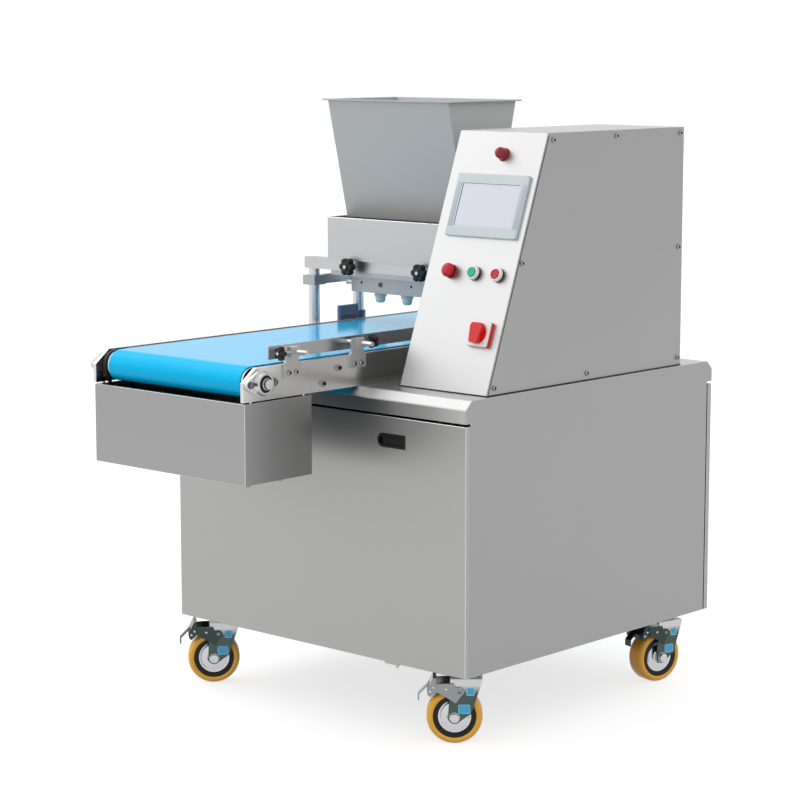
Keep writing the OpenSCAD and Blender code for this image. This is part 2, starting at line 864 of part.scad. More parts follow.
module motor_pulley() color("gray") {
    along_x(pulley_x0, pulley_x1) translate([motor_y, motor_z])
        toothed(motor_teeth, motor_pulley_r - tooth_h, motor_pulley_r - tooth_h / 2, motor_pulley_r,
            pulley_width_shares);
    bar_x(pulley_x0, gearbox_x0 + gearbox.x / 2 - seat_gap, motor_shaft_r, motor_y, motor_z);
}

// Points of a belt's line round two pulleys, the second one out along X
function belt_line(r_a, r_b, span, steps) =
    let (lean = acos((r_a - r_b) / span))
    concat(
        [for (k = [0 : steps]) let (a = lean + k * (360 - 2 * lean) / steps) r_a * [cos(a), sin(a)]],
        [for (k = [0 : steps]) let (a = k * 2 * lean / steps - lean) [span, 0] + r_b * [cos(a), sin(a)]]);

module timing_belt() color("black") {
    run = [motor_y - front_roller_y, motor_z - roller_z];
    mid = (pulley_x0 + pulley_x1) / 2;
    inner = [pulley_r, motor_pulley_r] + [seat_gap, seat_gap];
    outer = inner + [timing_t, timing_t];
    along_x(mid - timing_w / 2, mid + timing_w / 2)
        translate([front_roller_y, roller_z]) rotate(atan2(run.y, run.x)) difference() {
            polygon(belt_line(outer[0], outer[1], norm(run), timing_steps));
            polygon(belt_line(inner[0], inner[1], norm(run), timing_steps));
        }
}

// Tray guide
module guide_rail() color("silver") {
    box([guide_x0, guide_y0, guide_z], [guide_x0 + guide_t, guide_rear_y, guide_z + guide_h]);
    for (y = bracket_ys) bar_x(guide_x0 - rod_in, near_x + rod_out, guide_rod_r, y, rod_z);
}

// Side of each bracket's knob along Y, with none on the last
knob_sides = [-1, 1, 0];

module guide_brackets() color("silver") {
    boss_x = near_x + bracket_t;
    for (i = [0 : len(bracket_ys) - 1]) difference() {
        y = bracket_ys[i];
        side = knob_sides[i];
        union() {
            along_x(near_x, boss_x) polygon([
                [y - bracket_w / 2, plate_top - bracket_drop],
                [y - bracket_w / 2, plate_top],
                [y - bracket_neck_w / 2, plate_top + guide_lift],
                [y - bracket_neck_w / 2, bracket_top],
                [y + bracket_neck_w / 2, bracket_top],
                [y + bracket_neck_w / 2, plate_top + guide_lift],
                [y + bracket_w / 2, plate_top],
                [y + bracket_w / 2, plate_top - bracket_drop]]);
            translate([boss_x + bracket_boss / 2 - over / 2, y, rod_z])
                cube([bracket_boss + over, bracket_boss_w, bracket_boss_w], center = true);
        }
        bar_x(near_x - over, boss_x + bracket_boss + over, guide_rod_r + fit_gap, y, rod_z);
        if (side != 0)
            bar_y(y + (side - 1) / 2 * bracket_boss_w, y + (side + 1) / 2 * bracket_boss_w,
                guide_stud_r + fit_gap, boss_x + bracket_boss / 2, rod_z);
    }
}

// Star knob along +Y from the origin: the stud starts at y = 0, the head ends at y = out + h
module star_knob(d, h, lobes, stud_r, out) {
    bar_y(0, out + h / 2, stud_r, 0, 0);
    along_y(out, out + h) star(d, lobes);
}

module guide_knob(i) color("black") {
    stud_in = guide_rod_r + fit_gap + seat_gap;
    translate([near_x + bracket_t + bracket_boss / 2, bracket_ys[i], rod_z])
        mirror([0, knob_sides[i] < 0 ? 1 : 0, 0]) translate([0, stud_in, 0])
            star_knob(guide_knob_d, guide_knob_h, 5, guide_stud_r, guide_knob_out - stud_in);
}

module guide_knob_front() guide_knob(0);

module guide_knob_rear() guide_knob(1);

reflector_y1 = rear_beam_y - column_d / 2 - reflector_gap;

module tray_reflector() color("midnightblue") {
    low = [column_x + column_d / 2 - reflector.x / 2, reflector_y1 - reflector.y, table_z + reflector_rise];
    front = low.x + reflector.x;
    clip_r = column_d / 2 + fit_gap;
    difference() {
        box(low, low + reflector);
        box(low + [reflector.x - reflector_recess, reflector_rim, reflector_rim],
            low + reflector + [over, -reflector_rim, -reflector_rim]);
    }
    difference() {
        union() {
            translate([column_x, rear_beam_y, low.z])
                cylinder(r = clip_r + reflector_clip_t, h = reflector_clip_h);
            box([front - reflector.x, reflector_y1 - over, low.z],
                [front - reflector.x + reflector_clip_t, rear_beam_y, low.z + reflector_clip_h]);
        }
        translate([column_x, rear_beam_y, low.z - over]) cylinder(r = clip_r, h = reflector_clip_h + 2 * over);
    }
}

// Depositing head
module support_columns() color("gainsboro") {
    for (y = [front_beam_y, rear_beam_y])
        translate([column_x, y, table_z]) cylinder(d = column_d, h = column_h);
}

module head_beams() color("whitesmoke") difference() {
    for (y = [front_beam_y, rear_beam_y])
        box([beam_x0, y - beam_d / 2, beam_z], [tower_x0, y + beam_d / 2, beam_top]);
    for (x = clamp_knob_xs)
        bar_y(front_beam_y - beam_d, front_beam_y + beam_d, clamp_stud_r + fit_gap, x, clamp_z);
}

module side_rail() color("whitesmoke") difference() {
    union() {
        for (y = [front_beam_y, rear_beam_y])
            box([column_x - side_clamp_w / 2, y - side_clamp_w / 2, side_rail_z],
                [column_x + side_clamp_w / 2, y + side_clamp_w / 2, side_rail_z + side_rail_h]);
        box([column_x - side_rail_t / 2, front_beam_y, side_rail_z],
            [column_x + side_rail_t / 2, rear_beam_y, side_rail_z + side_rail_h]);
    }
    for (y = [front_beam_y, rear_beam_y])
        translate([column_x, y, side_rail_z - over])
            cylinder(r = column_d / 2 + fit_gap, h = side_rail_h + 2 * over);
}

chamber_x0 = block_x0 + block_end_t;
chamber_x1 = block_x1 - block_end_t;

module roller_housing() color("lightgray") difference() {
    box([housing_x0, housing_y0, beam_top], [housing_x1, housing_y1, housing_top]);
    box([housing_x0 + housing_t, housing_y0 + housing_t, block_z],
        [housing_x1 - housing_t, housing_y1 - housing_t, housing_top + over]);
    box([chamber_x0, head_y - outlet_half, beam_top - over],
        [chamber_x1, head_y + outlet_half, block_z + over]);
    bar_x(housing_x1 - 2 * housing_t, housing_x1 + over, shaft_hole_r, head_y - feed_pitch_r, feed_z);
}

module roller_block() color("silver") difference() {
    box([block_x0, head_y - block_half, block_z], [block_x1, head_y + block_half, block_top]);
    for (side = [-1, 1]) {
        bar_x(chamber_x0, chamber_x1, chamber_r, head_y + side * feed_pitch_r, feed_z);
        bar_x(block_x0 + block_end_t / 2, block_x1 + over, feed_shaft_r + fit_gap,
            head_y + side * feed_pitch_r, feed_z);
    }
    box([chamber_x0, head_y - throat_half, feed_z], [chamber_x1, head_y + throat_half, block_top + over]);
    box([chamber_x0, head_y - outlet_half, block_z - over], [chamber_x1, head_y + outlet_half, feed_z]);
}

// Fluted roller with its shaft and gear, turned by phase so that the two gears mesh
module feed_roller(y, phase, shaft_end) {
    clear_x = 2 * seat_gap;
    along_x(chamber_x0 + clear_x, chamber_x1 - clear_x) translate([y, feed_z]) difference() {
        circle(feed_r);
        for (i = [0 : flutes - 1]) rotate(i * 360 / flutes) translate([feed_r, 0]) circle(flute_r);
    }
    bar_x(block_x0 + block_end_t / 2 + seat_gap, shaft_end, feed_shaft_r, y, feed_z);
    along_x(block_x1 + gear_gap, block_x1 + gear_gap + gear_w) translate([y, feed_z]) rotate(phase)
        toothed(gear_teeth, feed_pitch_r - root_share * gear_module, feed_pitch_r,
            feed_pitch_r + tip_share * gear_module, gear_width_shares);
}

module feed_roller_front() color("gainsboro")
    feed_roller(head_y - feed_pitch_r, 0, tower_x0 + sheet_t + feed_shaft_in);

module feed_roller_rear() color("gainsboro")
    feed_roller(head_y + feed_pitch_r, 180 / gear_teeth, block_x1 + gear_gap + gear_w);

// Hopper's outline in Y and Z, drawn in from the outside by inset
module hopper_outline(inset, low, high) {
    slope = (hopper_mouth_d / 2 - hopper_foot_half) / hopper_h;
    shift = inset * sqrt(1 + slope * slope);
    low_half = hopper_foot_half + slope * (low - hopper_z) - shift;
    high_half = hopper_foot_half + slope * (high - hopper_z) - shift;
    polygon([
        [head_y - low_half, low], [head_y - high_half, high],
        [head_y + high_half, high], [head_y + low_half, low]]);
}

module hopper() color("darkgray") {
    t = hopper_t;
    rim_half = hopper_mouth_d / 2 + hopper_rim;
    difference() {
        union() {
            along_x(hopper_x0, hopper_x1) hopper_outline(0, hopper_z, hopper_top);
            box([hopper_x0 - hopper_side_rim, head_y - rim_half, hopper_top - hopper_rim_t],
                [hopper_x1 + hopper_side_rim, head_y + rim_half, hopper_top]);
        }
        along_x(hopper_x0 + t, hopper_x1 - t) hopper_outline(t, hopper_z + hopper_floor_t, hopper_top + over);
        box([chamber_x0, head_y - throat_half, hopper_z - over],
            [chamber_x1, head_y + throat_half, hopper_z + 2 * hopper_floor_t]);
    }
}

function nozzle_x(i) = conveyor_mid + (i - (nozzle_count - 1) / 2) * nozzle_pitch;

end_rod_z = nozzle_block_z + end_rod_rise;

module nozzle_block() color("silver") {
    channel_z = nozzle_block_z + channel_floor;
    difference() {
        union() {
            box([housing_x0, ledge_y0, ledge_z], [housing_x1, ledge_y1, beam_z]);
            box([housing_x0, head_y - neck_half, ledge_z], [housing_x1, head_y + neck_half, beam_top]);
            box([housing_x0, head_y - nozzle_block_d / 2, nozzle_block_z],
                [housing_x1, head_y + nozzle_block_d / 2, beam_z]);
        }
        box([chamber_x0, head_y - outlet_half, channel_z], [chamber_x1, head_y + outlet_half, beam_top + over]);
        for (i = [0 : nozzle_count - 1]) translate([nozzle_x(i), head_y, nozzle_block_z - over]) {
            cylinder(r = nozzle_bore_r, h = channel_floor + 2 * over);
            cylinder(r = nozzle_spigot_r + fit_gap, h = nozzle_spigot_l + over + seat_gap);
        }
        for (i = [-1 : 1])
            bar_y(head_y - nozzle_block_d / 2 - over, head_y - nozzle_block_d / 2 + front_hole_d, front_hole_r,
                conveyor_mid + i * front_hole_pitch, nozzle_block_z + nozzle_block_h / 2);
        for (x = clamp_knob_xs)
            bar_y(head_y - neck_half - over, head_y - neck_half + clamp_stud_in + seat_gap,
                clamp_stud_r + fit_gap, x, clamp_z);
        bar_x(housing_x0 - over, housing_x0 + end_rod_in, end_rod_r + fit_gap, head_y, end_rod_z);
    }
}

module nozzles() color("white") {
    for (i = [0 : nozzle_count - 1]) translate([nozzle_x(i), head_y, nozzle_block_z]) difference() {
        rotate_extrude() polygon(concat(
            [[0, nozzle_spigot_l], [nozzle_spigot_r, nozzle_spigot_l], [nozzle_spigot_r, 0],
             [nozzle_d / 2, 0], [nozzle_d / 2, -nozzle_collar_l], [nozzle_root_r, -nozzle_collar_l]],
            [for (share = nozzle_tip_shares) [share.x * nozzle_root_r, -share.y * nozzle_l]],
            [[0, -nozzle_l]]));
        translate([0, 0, -nozzle_l - over]) cylinder(r1 = nozzle_hole_r, r2 = nozzle_bore_r,
            h = nozzle_l + nozzle_spigot_l + 2 * over);
    }
    bar_x(housing_x0 - end_rod_out, housing_x0 + end_rod_in - seat_gap, end_rod_r, head_y, end_rod_z);
}

module clamp_knob(i) color("black") {
    stud_l = head_y - neck_half + clamp_stud_in - clamp_y;
    translate([clamp_knob_xs[i], clamp_y + stud_l, clamp_z]) mirror([0, 1, 0])
        star_knob(clamp_knob_d, clamp_knob_h, 6, clamp_stud_r, stud_l + clamp_knob_out);
}

module clamp_knob_left() clamp_knob(0);

module clamp_knob_right() clamp_knob(1);

module feed_motor() color("dimgray") {
    x = tower_x0 + sheet_t;
    y = head_y - feed_pitch_r;
    difference() {
        union() {
            translate([x, y - feed_gearbox.y / 2, feed_z - feed_gearbox.z / 2]) cube(feed_gearbox);
            bar_x(x + feed_gearbox.x, x + feed_gearbox.x + feed_motor_l, feed_motor_r, y, feed_z);
        }
        bar_x(x - over, x + feed_shaft_in + seat_gap, feed_shaft_r + fit_gap, y, feed_z);
    }
}

// Tower
// Tower's outline in Y and Z, drawn in from the outside by inset
module tower_outline(inset, low) {
    shift = inset / cos(lean_angle);
    top = tower_z1 - inset;
    slope = tan(lean_angle);
    polygon([
        [tower_y0 + shift + (low - table_z) * slope, low],
        [tower_y0 + shift + (top - table_z) * slope, top],
        [tower_y1 - inset, top],
        [tower_y1 - inset, low]]);
}

// Places a piece on the sloped panel: X across it from its left edge, Y up it, Z out of it
module on_panel(across, up) {
    translate([tower_x0, tower_y0, table_z]) rotate([90 - lean_angle, 0, 0])
        translate([across, up, 0]) children();
}

// Round hole through the panel's sheet for a body of radius r
module panel_hole(r) {
    translate([0, 0, -2 * sheet_t]) cylinder(r = r + fit_gap, h = 4 * sheet_t);
}

screen_up = panel_l - screen_drop - screen_h;
lamp_up = panel_l - lamp_drop;
switch_mid = [switch_side + switch_w / 2, switch_rise + switch_h / 2];

module tower_shell() color("whitesmoke") difference() {
    along_x(tower_x0, tower_x1 - cover_t) tower_outline(0, table_z);
    along_x(tower_x0 + sheet_t, tower_x1) tower_outline(sheet_t, table_z - over);
    on_panel(screen_side + screen_body_inset - fit_gap, screen_up + screen_body_inset - fit_gap)
        translate([0, 0, -2 * sheet_t]) cube([
            screen_w - 2 * screen_body_inset + 2 * fit_gap,
            screen_h - 2 * screen_body_inset + 2 * fit_gap,
            4 * sheet_t]);
    on_panel(lamp_side, lamp_up) panel_hole(lamp_dome_r);
    for (side = button_sides) on_panel(side, button_rise) panel_hole(barrel_r);
    on_panel(switch_mid.x, switch_mid.y) panel_hole(switch_body_r);
    bar_x(tower_x0 - over, tower_x0 + 2 * sheet_t, shaft_hole_r, head_y - feed_pitch_r, feed_z);
}

module tower_side_cover() color("silver") along_x(tower_x1 - cover_t, tower_x1) tower_outline(0, table_z);

module touch_screen() color("lightgray") on_panel(screen_side, screen_up) {
    difference() {
        cube([screen_w, screen_h, screen_frame_t]);
        translate([screen_border.x, screen_border.y, screen_frame_t - screen_recess])
            cube([screen_w - 2 * screen_border.x, screen_h - 2 * screen_border.y, screen_recess + over]);
    }
    box([screen_body_inset, screen_body_inset, -screen_body_d],
        [screen_w - screen_body_inset, screen_h - screen_body_inset, screen_frame_t / 2]);
}

module indicator_lamp() color("firebrick") on_panel(lamp_side, lamp_up) {
    cylinder(r = lamp_base_r, h = lamp_base_h);
    translate([0, 0, -lamp_body_d]) cylinder(r = lamp_dome_r, h = lamp_body_d + lamp_neck_h);
    translate([0, 0, lamp_neck_h]) intersection() {
        sphere(lamp_dome_r);
        cylinder(r = 2 * lamp_dome_r, h = 2 * lamp_dome_r);
    }
}

module button_rings() color("white") for (i = [0 : 2]) on_panel(button_sides[i], button_rise) difference() {
    union() {
        cylinder(r = ring_r, h = ring_hs[i]);
        translate([0, 0, -barrel_d]) cylinder(r = barrel_r, h = barrel_d + ring_hs[i] / 2);
    }
    translate([0, 0, -barrel_d + sheet_t]) cylinder(r = button_r + seat_gap, h = barrel_d + ring_hs[i] + over);
}

module emergency_stop() color("crimson") on_panel(button_sides[0], button_rise) {
    head_z = ring_hs[0] + stop_head_gap;
    translate([0, 0, -button_in]) cylinder(r = button_r, h = button_in + head_z + stop_head_h / 2);
    translate([0, 0, head_z]) rotate_extrude()
        polygon([for (share = stop_head_shares) [share.x * stop_head_r, share.y * stop_head_h]]);
}

module push_button(i) {
    on_panel(button_sides[i], button_rise) translate([0, 0, -button_in])
        cylinder(r = button_r, h = button_in + ring_hs[i] + button_proud);
}

module start_button() color("mediumseagreen") push_button(1);

module stop_button() color("crimson") push_button(2);

module main_switch() color("white") on_panel(switch_mid.x, switch_mid.y) difference() {
    union() {
        translate([-switch_w / 2, -switch_h / 2, 0]) cube([switch_w, switch_h, switch_t]);
        cylinder(r = switch_boss_r, h = switch_t + switch_boss_h);
        translate([0, 0, -switch_body_d]) cylinder(r = switch_body_r, h = switch_body_d + switch_t);
    }
    cylinder(r = handle_shaft_r + fit_gap, h = switch_t + switch_boss_h + over);
}

module switch_handle() color("red") on_panel(switch_mid.x, switch_mid.y) {
    base = switch_t + switch_boss_h + seat_gap;
    translate([0, 0, seat_gap]) cylinder(r = handle_shaft_r, h = base + handle_h / 2);
    translate([0, 0, base]) cylinder(r = handle_r, h = handle_h);
    translate([0, 0, base]) linear_extrude(grip_h) for (side = [0, 1]) mirror([side, 0])
        polygon(concat(
            [for (share = grip_shares) [share.x * grip_w, share.y * grip_l]],
            [[-over, grip_l / 2], [-over, -grip_l / 2]]));
}

base_frame();
left_side_panel();
right_side_panel();
table_top();
front_panel();
front_latch();
latch_paddle();
rear_panel();
caster_plates();
for (i = [0 : len(caster_names) - 1]) {
    caster_fork(i);
    caster_wheel(i);
    caster_brake(i);
}
near_side_plate();
far_side_plate();
slider_bed();
conveyor_belt();
front_roller();
rear_roller();
roller_bearings();
drive_box();
drive_motor();
motor_pulley();
timing_belt();
guide_rail();
guide_brackets();
guide_knob_front();
guide_knob_rear();
tray_reflector();
support_columns();
head_beams();
side_rail();
roller_housing();
roller_block();
feed_roller_front();
feed_roller_rear();
hopper();
nozzle_block();
nozzles();
clamp_knob_left();
clamp_knob_right();
feed_motor();
tower_shell();
tower_side_cover();
touch_screen();
indicator_lamp();
button_rings();
emergency_stop();
start_button();
stop_button();
main_switch();
switch_handle();
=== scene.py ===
import json
import math

import bpy
from mathutils import Matrix, Vector


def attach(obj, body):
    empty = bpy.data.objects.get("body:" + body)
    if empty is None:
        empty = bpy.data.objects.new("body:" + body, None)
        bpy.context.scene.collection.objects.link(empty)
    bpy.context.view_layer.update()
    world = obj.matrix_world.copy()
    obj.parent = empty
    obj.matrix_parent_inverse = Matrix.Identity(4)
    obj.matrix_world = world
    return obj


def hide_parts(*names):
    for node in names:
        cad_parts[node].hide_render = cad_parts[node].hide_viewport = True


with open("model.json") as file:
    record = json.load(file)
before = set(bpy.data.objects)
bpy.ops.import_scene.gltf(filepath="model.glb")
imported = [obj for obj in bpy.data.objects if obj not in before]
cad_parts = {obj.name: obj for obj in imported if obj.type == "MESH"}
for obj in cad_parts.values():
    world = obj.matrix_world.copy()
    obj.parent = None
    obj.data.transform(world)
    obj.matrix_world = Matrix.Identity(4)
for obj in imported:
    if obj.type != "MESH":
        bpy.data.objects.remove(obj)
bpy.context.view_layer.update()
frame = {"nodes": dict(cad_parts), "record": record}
nodes = frame["nodes"]
bpy.context.scene.view_settings.view_transform = "Standard"
print("frame loaded:", len(nodes), "nodes")

# Limits of the mesh work, and the rounding of bare edges by how a piece is made; lengths in metres
limits = {"weld": 1e-6, "flat": math.radians(0.3), "sharp": math.radians(30), "smooth": math.radians(32)}
edges = {"belt": 0.0004, "thin": 0.0005, "sheet": 0.0006, "pressed": 0.0007, "plate": 0.0008, "bar": 0.0012,
         "tube": 0.0016}


# Modelling helpers

def only(*pieces):
    if bpy.context.object and bpy.context.object.mode != "OBJECT":
        bpy.ops.object.mode_set(mode="OBJECT")
    bpy.ops.object.select_all(action="DESELECT")
    for piece in pieces:
        piece.select_set(True)
    if pieces:
        bpy.context.view_layer.objects.active = pieces[0]


def edit(piece, kind="FACE", action="SELECT"):
    only(piece)
    bpy.ops.object.mode_set(mode="EDIT")
    bpy.ops.mesh.select_mode(type=kind)
    bpy.ops.mesh.select_all(action=action)


def leave():
    bpy.ops.object.mode_set(mode="OBJECT")


def settle(piece, name):
    piece.name = name
    piece.data.name = name
    only(piece)
    bpy.ops.object.transform_apply(location=True, rotation=True, scale=True)
    return piece


def block(name, low, high):
    low, high = Vector(low), Vector(high)
    only()
    bpy.ops.mesh.primitive_cube_add(size=1, location=(low + high) / 2)
    piece = bpy.context.object
    piece.scale = high - low
    return settle(piece, name)


def mm(*points):
    return [tuple(value * 0.001 for value in point) for point in points]


def rod(name, radius, start, end, sides=40):
    start, end = Vector(start), Vector(end)
    only()
    bpy.ops.mesh.primitive_cylinder_add(
        vertices=sides, radius=radius, depth=(end - start).length, location=(start + end) / 2,
        rotation=(end - start).to_track_quat("Z", "Y").to_euler())
    return settle(bpy.context.object, name)


def spun(name, profile, centre=(0, 0, 0), axis=(0, 0, 1), steps=48):
    # profile lists (radius, height along the axis): a chain of vertices, spun a full turn
    only()
    bpy.ops.mesh.primitive_plane_add(size=0.001, location=(profile[0][0], 0, profile[0][1]))
    piece = bpy.context.object
    edit(piece, "VERT")
    bpy.ops.mesh.merge(type="CENTER")
    for (r0, h0), (r1, h1) in zip(profile, profile[1:]):
        bpy.ops.mesh.extrude_vertices_move(TRANSFORM_OT_translate={"value": (r1 - r0, 0, h1 - h0)})
    leave()
    settle(piece, name)
    edit(piece, "VERT")
    bpy.ops.mesh.spin(steps=steps, angle=2 * math.pi, center=(0, 0, 0), axis=(0, 0, 1))
    bpy.ops.mesh.select_all(action="SELECT")
    bpy.ops.mesh.remove_doubles(threshold=limits["weld"])
    bpy.ops.mesh.normals_make_consistent(inside=False)
    leave()
    piece.data.transform(facing(centre, axis))
    smooth(piece)
    return piece


def facing(place, normal):
    return Matrix.Translation(Vector(place)) @ Vector(normal).to_track_quat("Z", "Y").to_matrix().to_4x4()


def pickFaces(piece, test):
    edit(piece, "FACE", "DESELECT")
    leave()
    for face in piece.data.polygons:
        face.select = bool(test(face.center, face.normal))
    bpy.ops.object.mode_set(mode="EDIT")


def pickSharp(piece, test=None):
    edit(piece, "EDGE", "DESELECT")
    bpy.ops.mesh.edges_select_sharp(sharpness=limits["sharp"])
    leave()
    if test:
        mesh = piece.data
        kept = [e.index for e in mesh.edges if e.select and test(*(mesh.vertices[i].co for i in e.vertices))]
        edit(piece, "EDGE", "DESELECT")
        leave()
        for i in kept:
            mesh.edges[i].select = True
    bpy.ops.object.mode_set(mode="EDIT")


def roundEdges(piece, width, segments=2, test=None):
    pickSharp(piece, test)
    bpy.ops.mesh.bevel(offset=width, segments=segments, affect="EDGES", clamp_overlap=True)
    leave()


def smooth(piece):
    only(piece)
    bpy.ops.object.shade_smooth_by_angle(angle=limits["smooth"])


def even(piece):
    # broad faces keep their own normals beside the rounded edges
    only(piece)
    bpy.ops.object.modifier_add(type="WEIGHTED_NORMAL")
    weighted = piece.modifiers[-1]
    weighted.keep_sharp = True
    bpy.ops.object.modifier_apply(modifier=weighted.name)


def copyOf(piece, name, move=None):
    other = bpy.data.objects.new(name, piece.data.copy())
    other.data.name = name
    bpy.context.scene.collection.objects.link(other)
    if move:
        other.data.transform(move)
        if move.determinant() < 0:
            edit(other)
            bpy.ops.mesh.flip_normals()
            leave()
    return other


def merged(name, pieces):
    only(*pieces)
    bpy.ops.object.join()
    return settle(bpy.context.object, name)


def drop(*pieces):
    for piece in pieces:
        bpy.data.objects.remove(piece)


def dress(piece, body, slot, finish, *stands):
    piece.data.materials.clear()
    piece.data.materials.append(finish)
    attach(piece, body)
    if stands:
        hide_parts(*stands)
    return piece


def cover(node, name, body, slot, finish, width, segments=2, folds=None):
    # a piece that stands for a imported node: merged, its folded edges rounded first and then the other sharp ones
    piece = copyOf(nodes[node], name)
    edit(piece, "VERT")
    bpy.ops.mesh.remove_doubles(threshold=limits["weld"])
    bpy.ops.mesh.dissolve_limited(angle_limit=limits["flat"])
    bpy.ops.mesh.customdata_custom_splitnormals_clear()
    leave()
    if folds:
        foldWidth, foldTest = folds
        roundEdges(piece, foldWidth, 4, foldTest)
    roundEdges(piece, width, segments)
    smooth(piece)
    even(piece)
    return dress(piece, body, slot, finish, node)


def paint(piece, finish, test):
    piece.data.materials.append(finish)
    index = len(piece.data.materials) - 1
    for face in piece.data.polygons:
        if test(face.center, face.normal):
            face.material_index = index


def onPlanes(reach=0.0004, **planes):
    # edges that lie on all the given planes, such as x=0.4, y=-0.2
    spots = [("xyz".index(k), v) for k, v in planes.items()]
    return lambda a, b: all(abs(a[k] - v) < reach and abs(b[k] - v) < reach for k, v in spots)


def anyOf(*tests):
    return lambda a, b: any(test(a, b) for test in tests)


# Shader helpers

class Wire:
    def __init__(self, tree, socket):
        self.tree, self.socket = tree, socket

    def maths(self, kind, other=0.0, flip=False):
        step = self.tree.nodes.new("ShaderNodeMath")
        step.operation = kind
        for place, value in zip(step.inputs, (other, self) if flip else (self, other)):
            if isinstance(value, Wire):
                self.tree.links.new(value.socket, place)
            else:
                place.default_value = value
        return Wire(self.tree, step.outputs[0])

    def __add__(self, other): return self.maths("ADD", other)
    def __radd__(self, other): return self.maths("ADD", other, True)
    def __sub__(self, other): return self.maths("SUBTRACT", other)
    def __rsub__(self, other): return self.maths("SUBTRACT", other, True)
    def __mul__(self, other): return self.maths("MULTIPLY", other)
    def __truediv__(self, other): return self.maths("DIVIDE", other)
    def __gt__(self, other): return self.maths("GREATER_THAN", other)
    def __lt__(self, other): return self.maths("LESS_THAN", other)
    def __abs__(self): return self.maths("ABSOLUTE")
    def least(self, other): return self.maths("MINIMUM", other)
    def most(self, other): return self.maths("MAXIMUM", other)


class Finish:
    def __init__(self, name, tree=None):
        if tree is None:
            self.material = bpy.data.materials.new(name)
            self.material.use_nodes = True
            tree = self.material.node_tree
        self.tree = tree
        tree.nodes.clear()

    def surface(self, **sockets):
        shaded = self.node("ShaderNodeBsdfPrincipled", **sockets)
        self.shader = shaded.socket.node
        self.node("ShaderNodeOutputMaterial", Surface=shaded)
        return self

    def node(self, kind, settings=None, out=0, **sockets):
        step = self.tree.nodes.new(kind)
        for key, value in (settings or {}).items():
            setattr(step, key, value)
        for key, value in sockets.items():
            self.link(step.inputs[int(key[1:]) if key[1:].isdigit() else key.replace("_", " ")], value)
        return Wire(self.tree, step.outputs[out]) if step.outputs else None

    def link(self, place, value):
        if isinstance(value, Wire):
            self.tree.links.new(value.socket, place)
        elif place.type == "RGBA":
            place.default_value = (*value, 1)
        else:
            place.default_value = value

    def spot(self):
        return self.node("ShaderNodeTexCoord", out=3)

    def all(self, kind, **sockets):
        return [Wire(self.tree, socket) for socket in self.node(kind, **sockets).socket.node.outputs]

    def axes(self, wire):
        return self.all("ShaderNodeSeparateXYZ", Vector=wire)

    def noise(self, scale, detail=3.0, stretch=(1, 1, 1)):
        spot = self.node("ShaderNodeMapping", Vector=self.spot(), Scale=stretch)
        return self.node("ShaderNodeTexNoise", Vector=spot, Scale=scale, Detail=detail)

    def blend(self, share, first, second):
        return self.node("ShaderNodeMix", {"data_type": "RGBA"}, 2, i0=share, i6=first, i7=second)

    def spread(self, share, colour, low, high):
        return self.blend(share, shade(colour, low), shade(colour, high))

    def bump(self, height, strength, reach):
        raised = self.node("ShaderNodeBump", Strength=strength, Distance=reach, Height=height)
        self.link(self.shader.inputs["Normal"], raised)
        return self


def tone(*rgb):
    return tuple(c / 255 / 12.92 if c <= 10 else ((c / 255 + 0.055) / 1.055) ** 2.4 for c in rgb)


def shade(colour, share):
    return tuple(min(1.0, c * share) for c in colour)


drawn = {"along": 6.0, "across": 1100.0, "cloud": 3.0, "lineShare": 0.6, "cloudRough": 0.08, "flatFrom": 0.75}
cast = {"cloud": 14.0, "cloudRough": 0.1, "fineRough": 0.06, "coatRough": 0.08}
grainReach = 0.0003


def steel(name, colour, rough, grain=0.05, spread=0.025, metal=1.0):
    # drawn sheet: fine streaks along the sheet, faint clouds from handling
    f = Finish(name)
    along, across = drawn["along"], drawn["across"]
    flat = abs(f.axes(f.node("ShaderNodeNewGeometry", out=1))[2]) > drawn["flatFrom"]
    upright = f.noise(1.0, 2.0, (along, along, across))
    lines = upright * (1 - flat) + f.noise(1.0, 2.0, (along, across, along)) * flat
    cloud = f.noise(drawn["cloud"], 4.0)
    share = lines * drawn["lineShare"] + cloud * (1 - drawn["lineShare"])
    f.surface(Metallic=metal, Base_Color=f.spread(share, colour, 1 - spread, 1 + spread),
              Roughness=rough + (lines - 0.5) * grain + (cloud - 0.5) * drawn["cloudRough"])
    return f.bump(lines, 0.03, grainReach).material


def moulded(name, colour, rough, coat=0.0, grain=0.03, scale=900.0, spread=0.1, shine=0.5, clear=0.0):
    # moulded plastic or paint: fine grain, slight mottling
    f = Finish(name)
    fine, cloud = f.noise(scale, 2.0), f.noise(cast["cloud"], 3.0)
    f.surface(Base_Color=f.spread(cloud, colour, 1 - spread, 1 + spread), Specular_IOR_Level=shine,
              Roughness=rough + (cloud - 0.5) * cast["cloudRough"] + (fine - 0.5) * cast["fineRough"],
              Coat_Weight=coat, Coat_Roughness=cast["coatRough"], Transmission_Weight=clear)
    return f.bump(fine, grain, grainReach).material


def beltFinish(colour):
    # coated belt: smooth blue film with a faint woven print
    f = Finish("beltBlue")
    weave, cloud = f.noise(420.0, 2.0), f.noise(4.0, 3.0)
    f.surface(Base_Color=f.spread(cloud, colour, 0.95, 1.05), Specular_IOR_Level=0.08,
              Roughness=0.08 + cloud * 0.04 + weave * 0.03)
    return f.bump(weave, 0.012, 0.0002).material


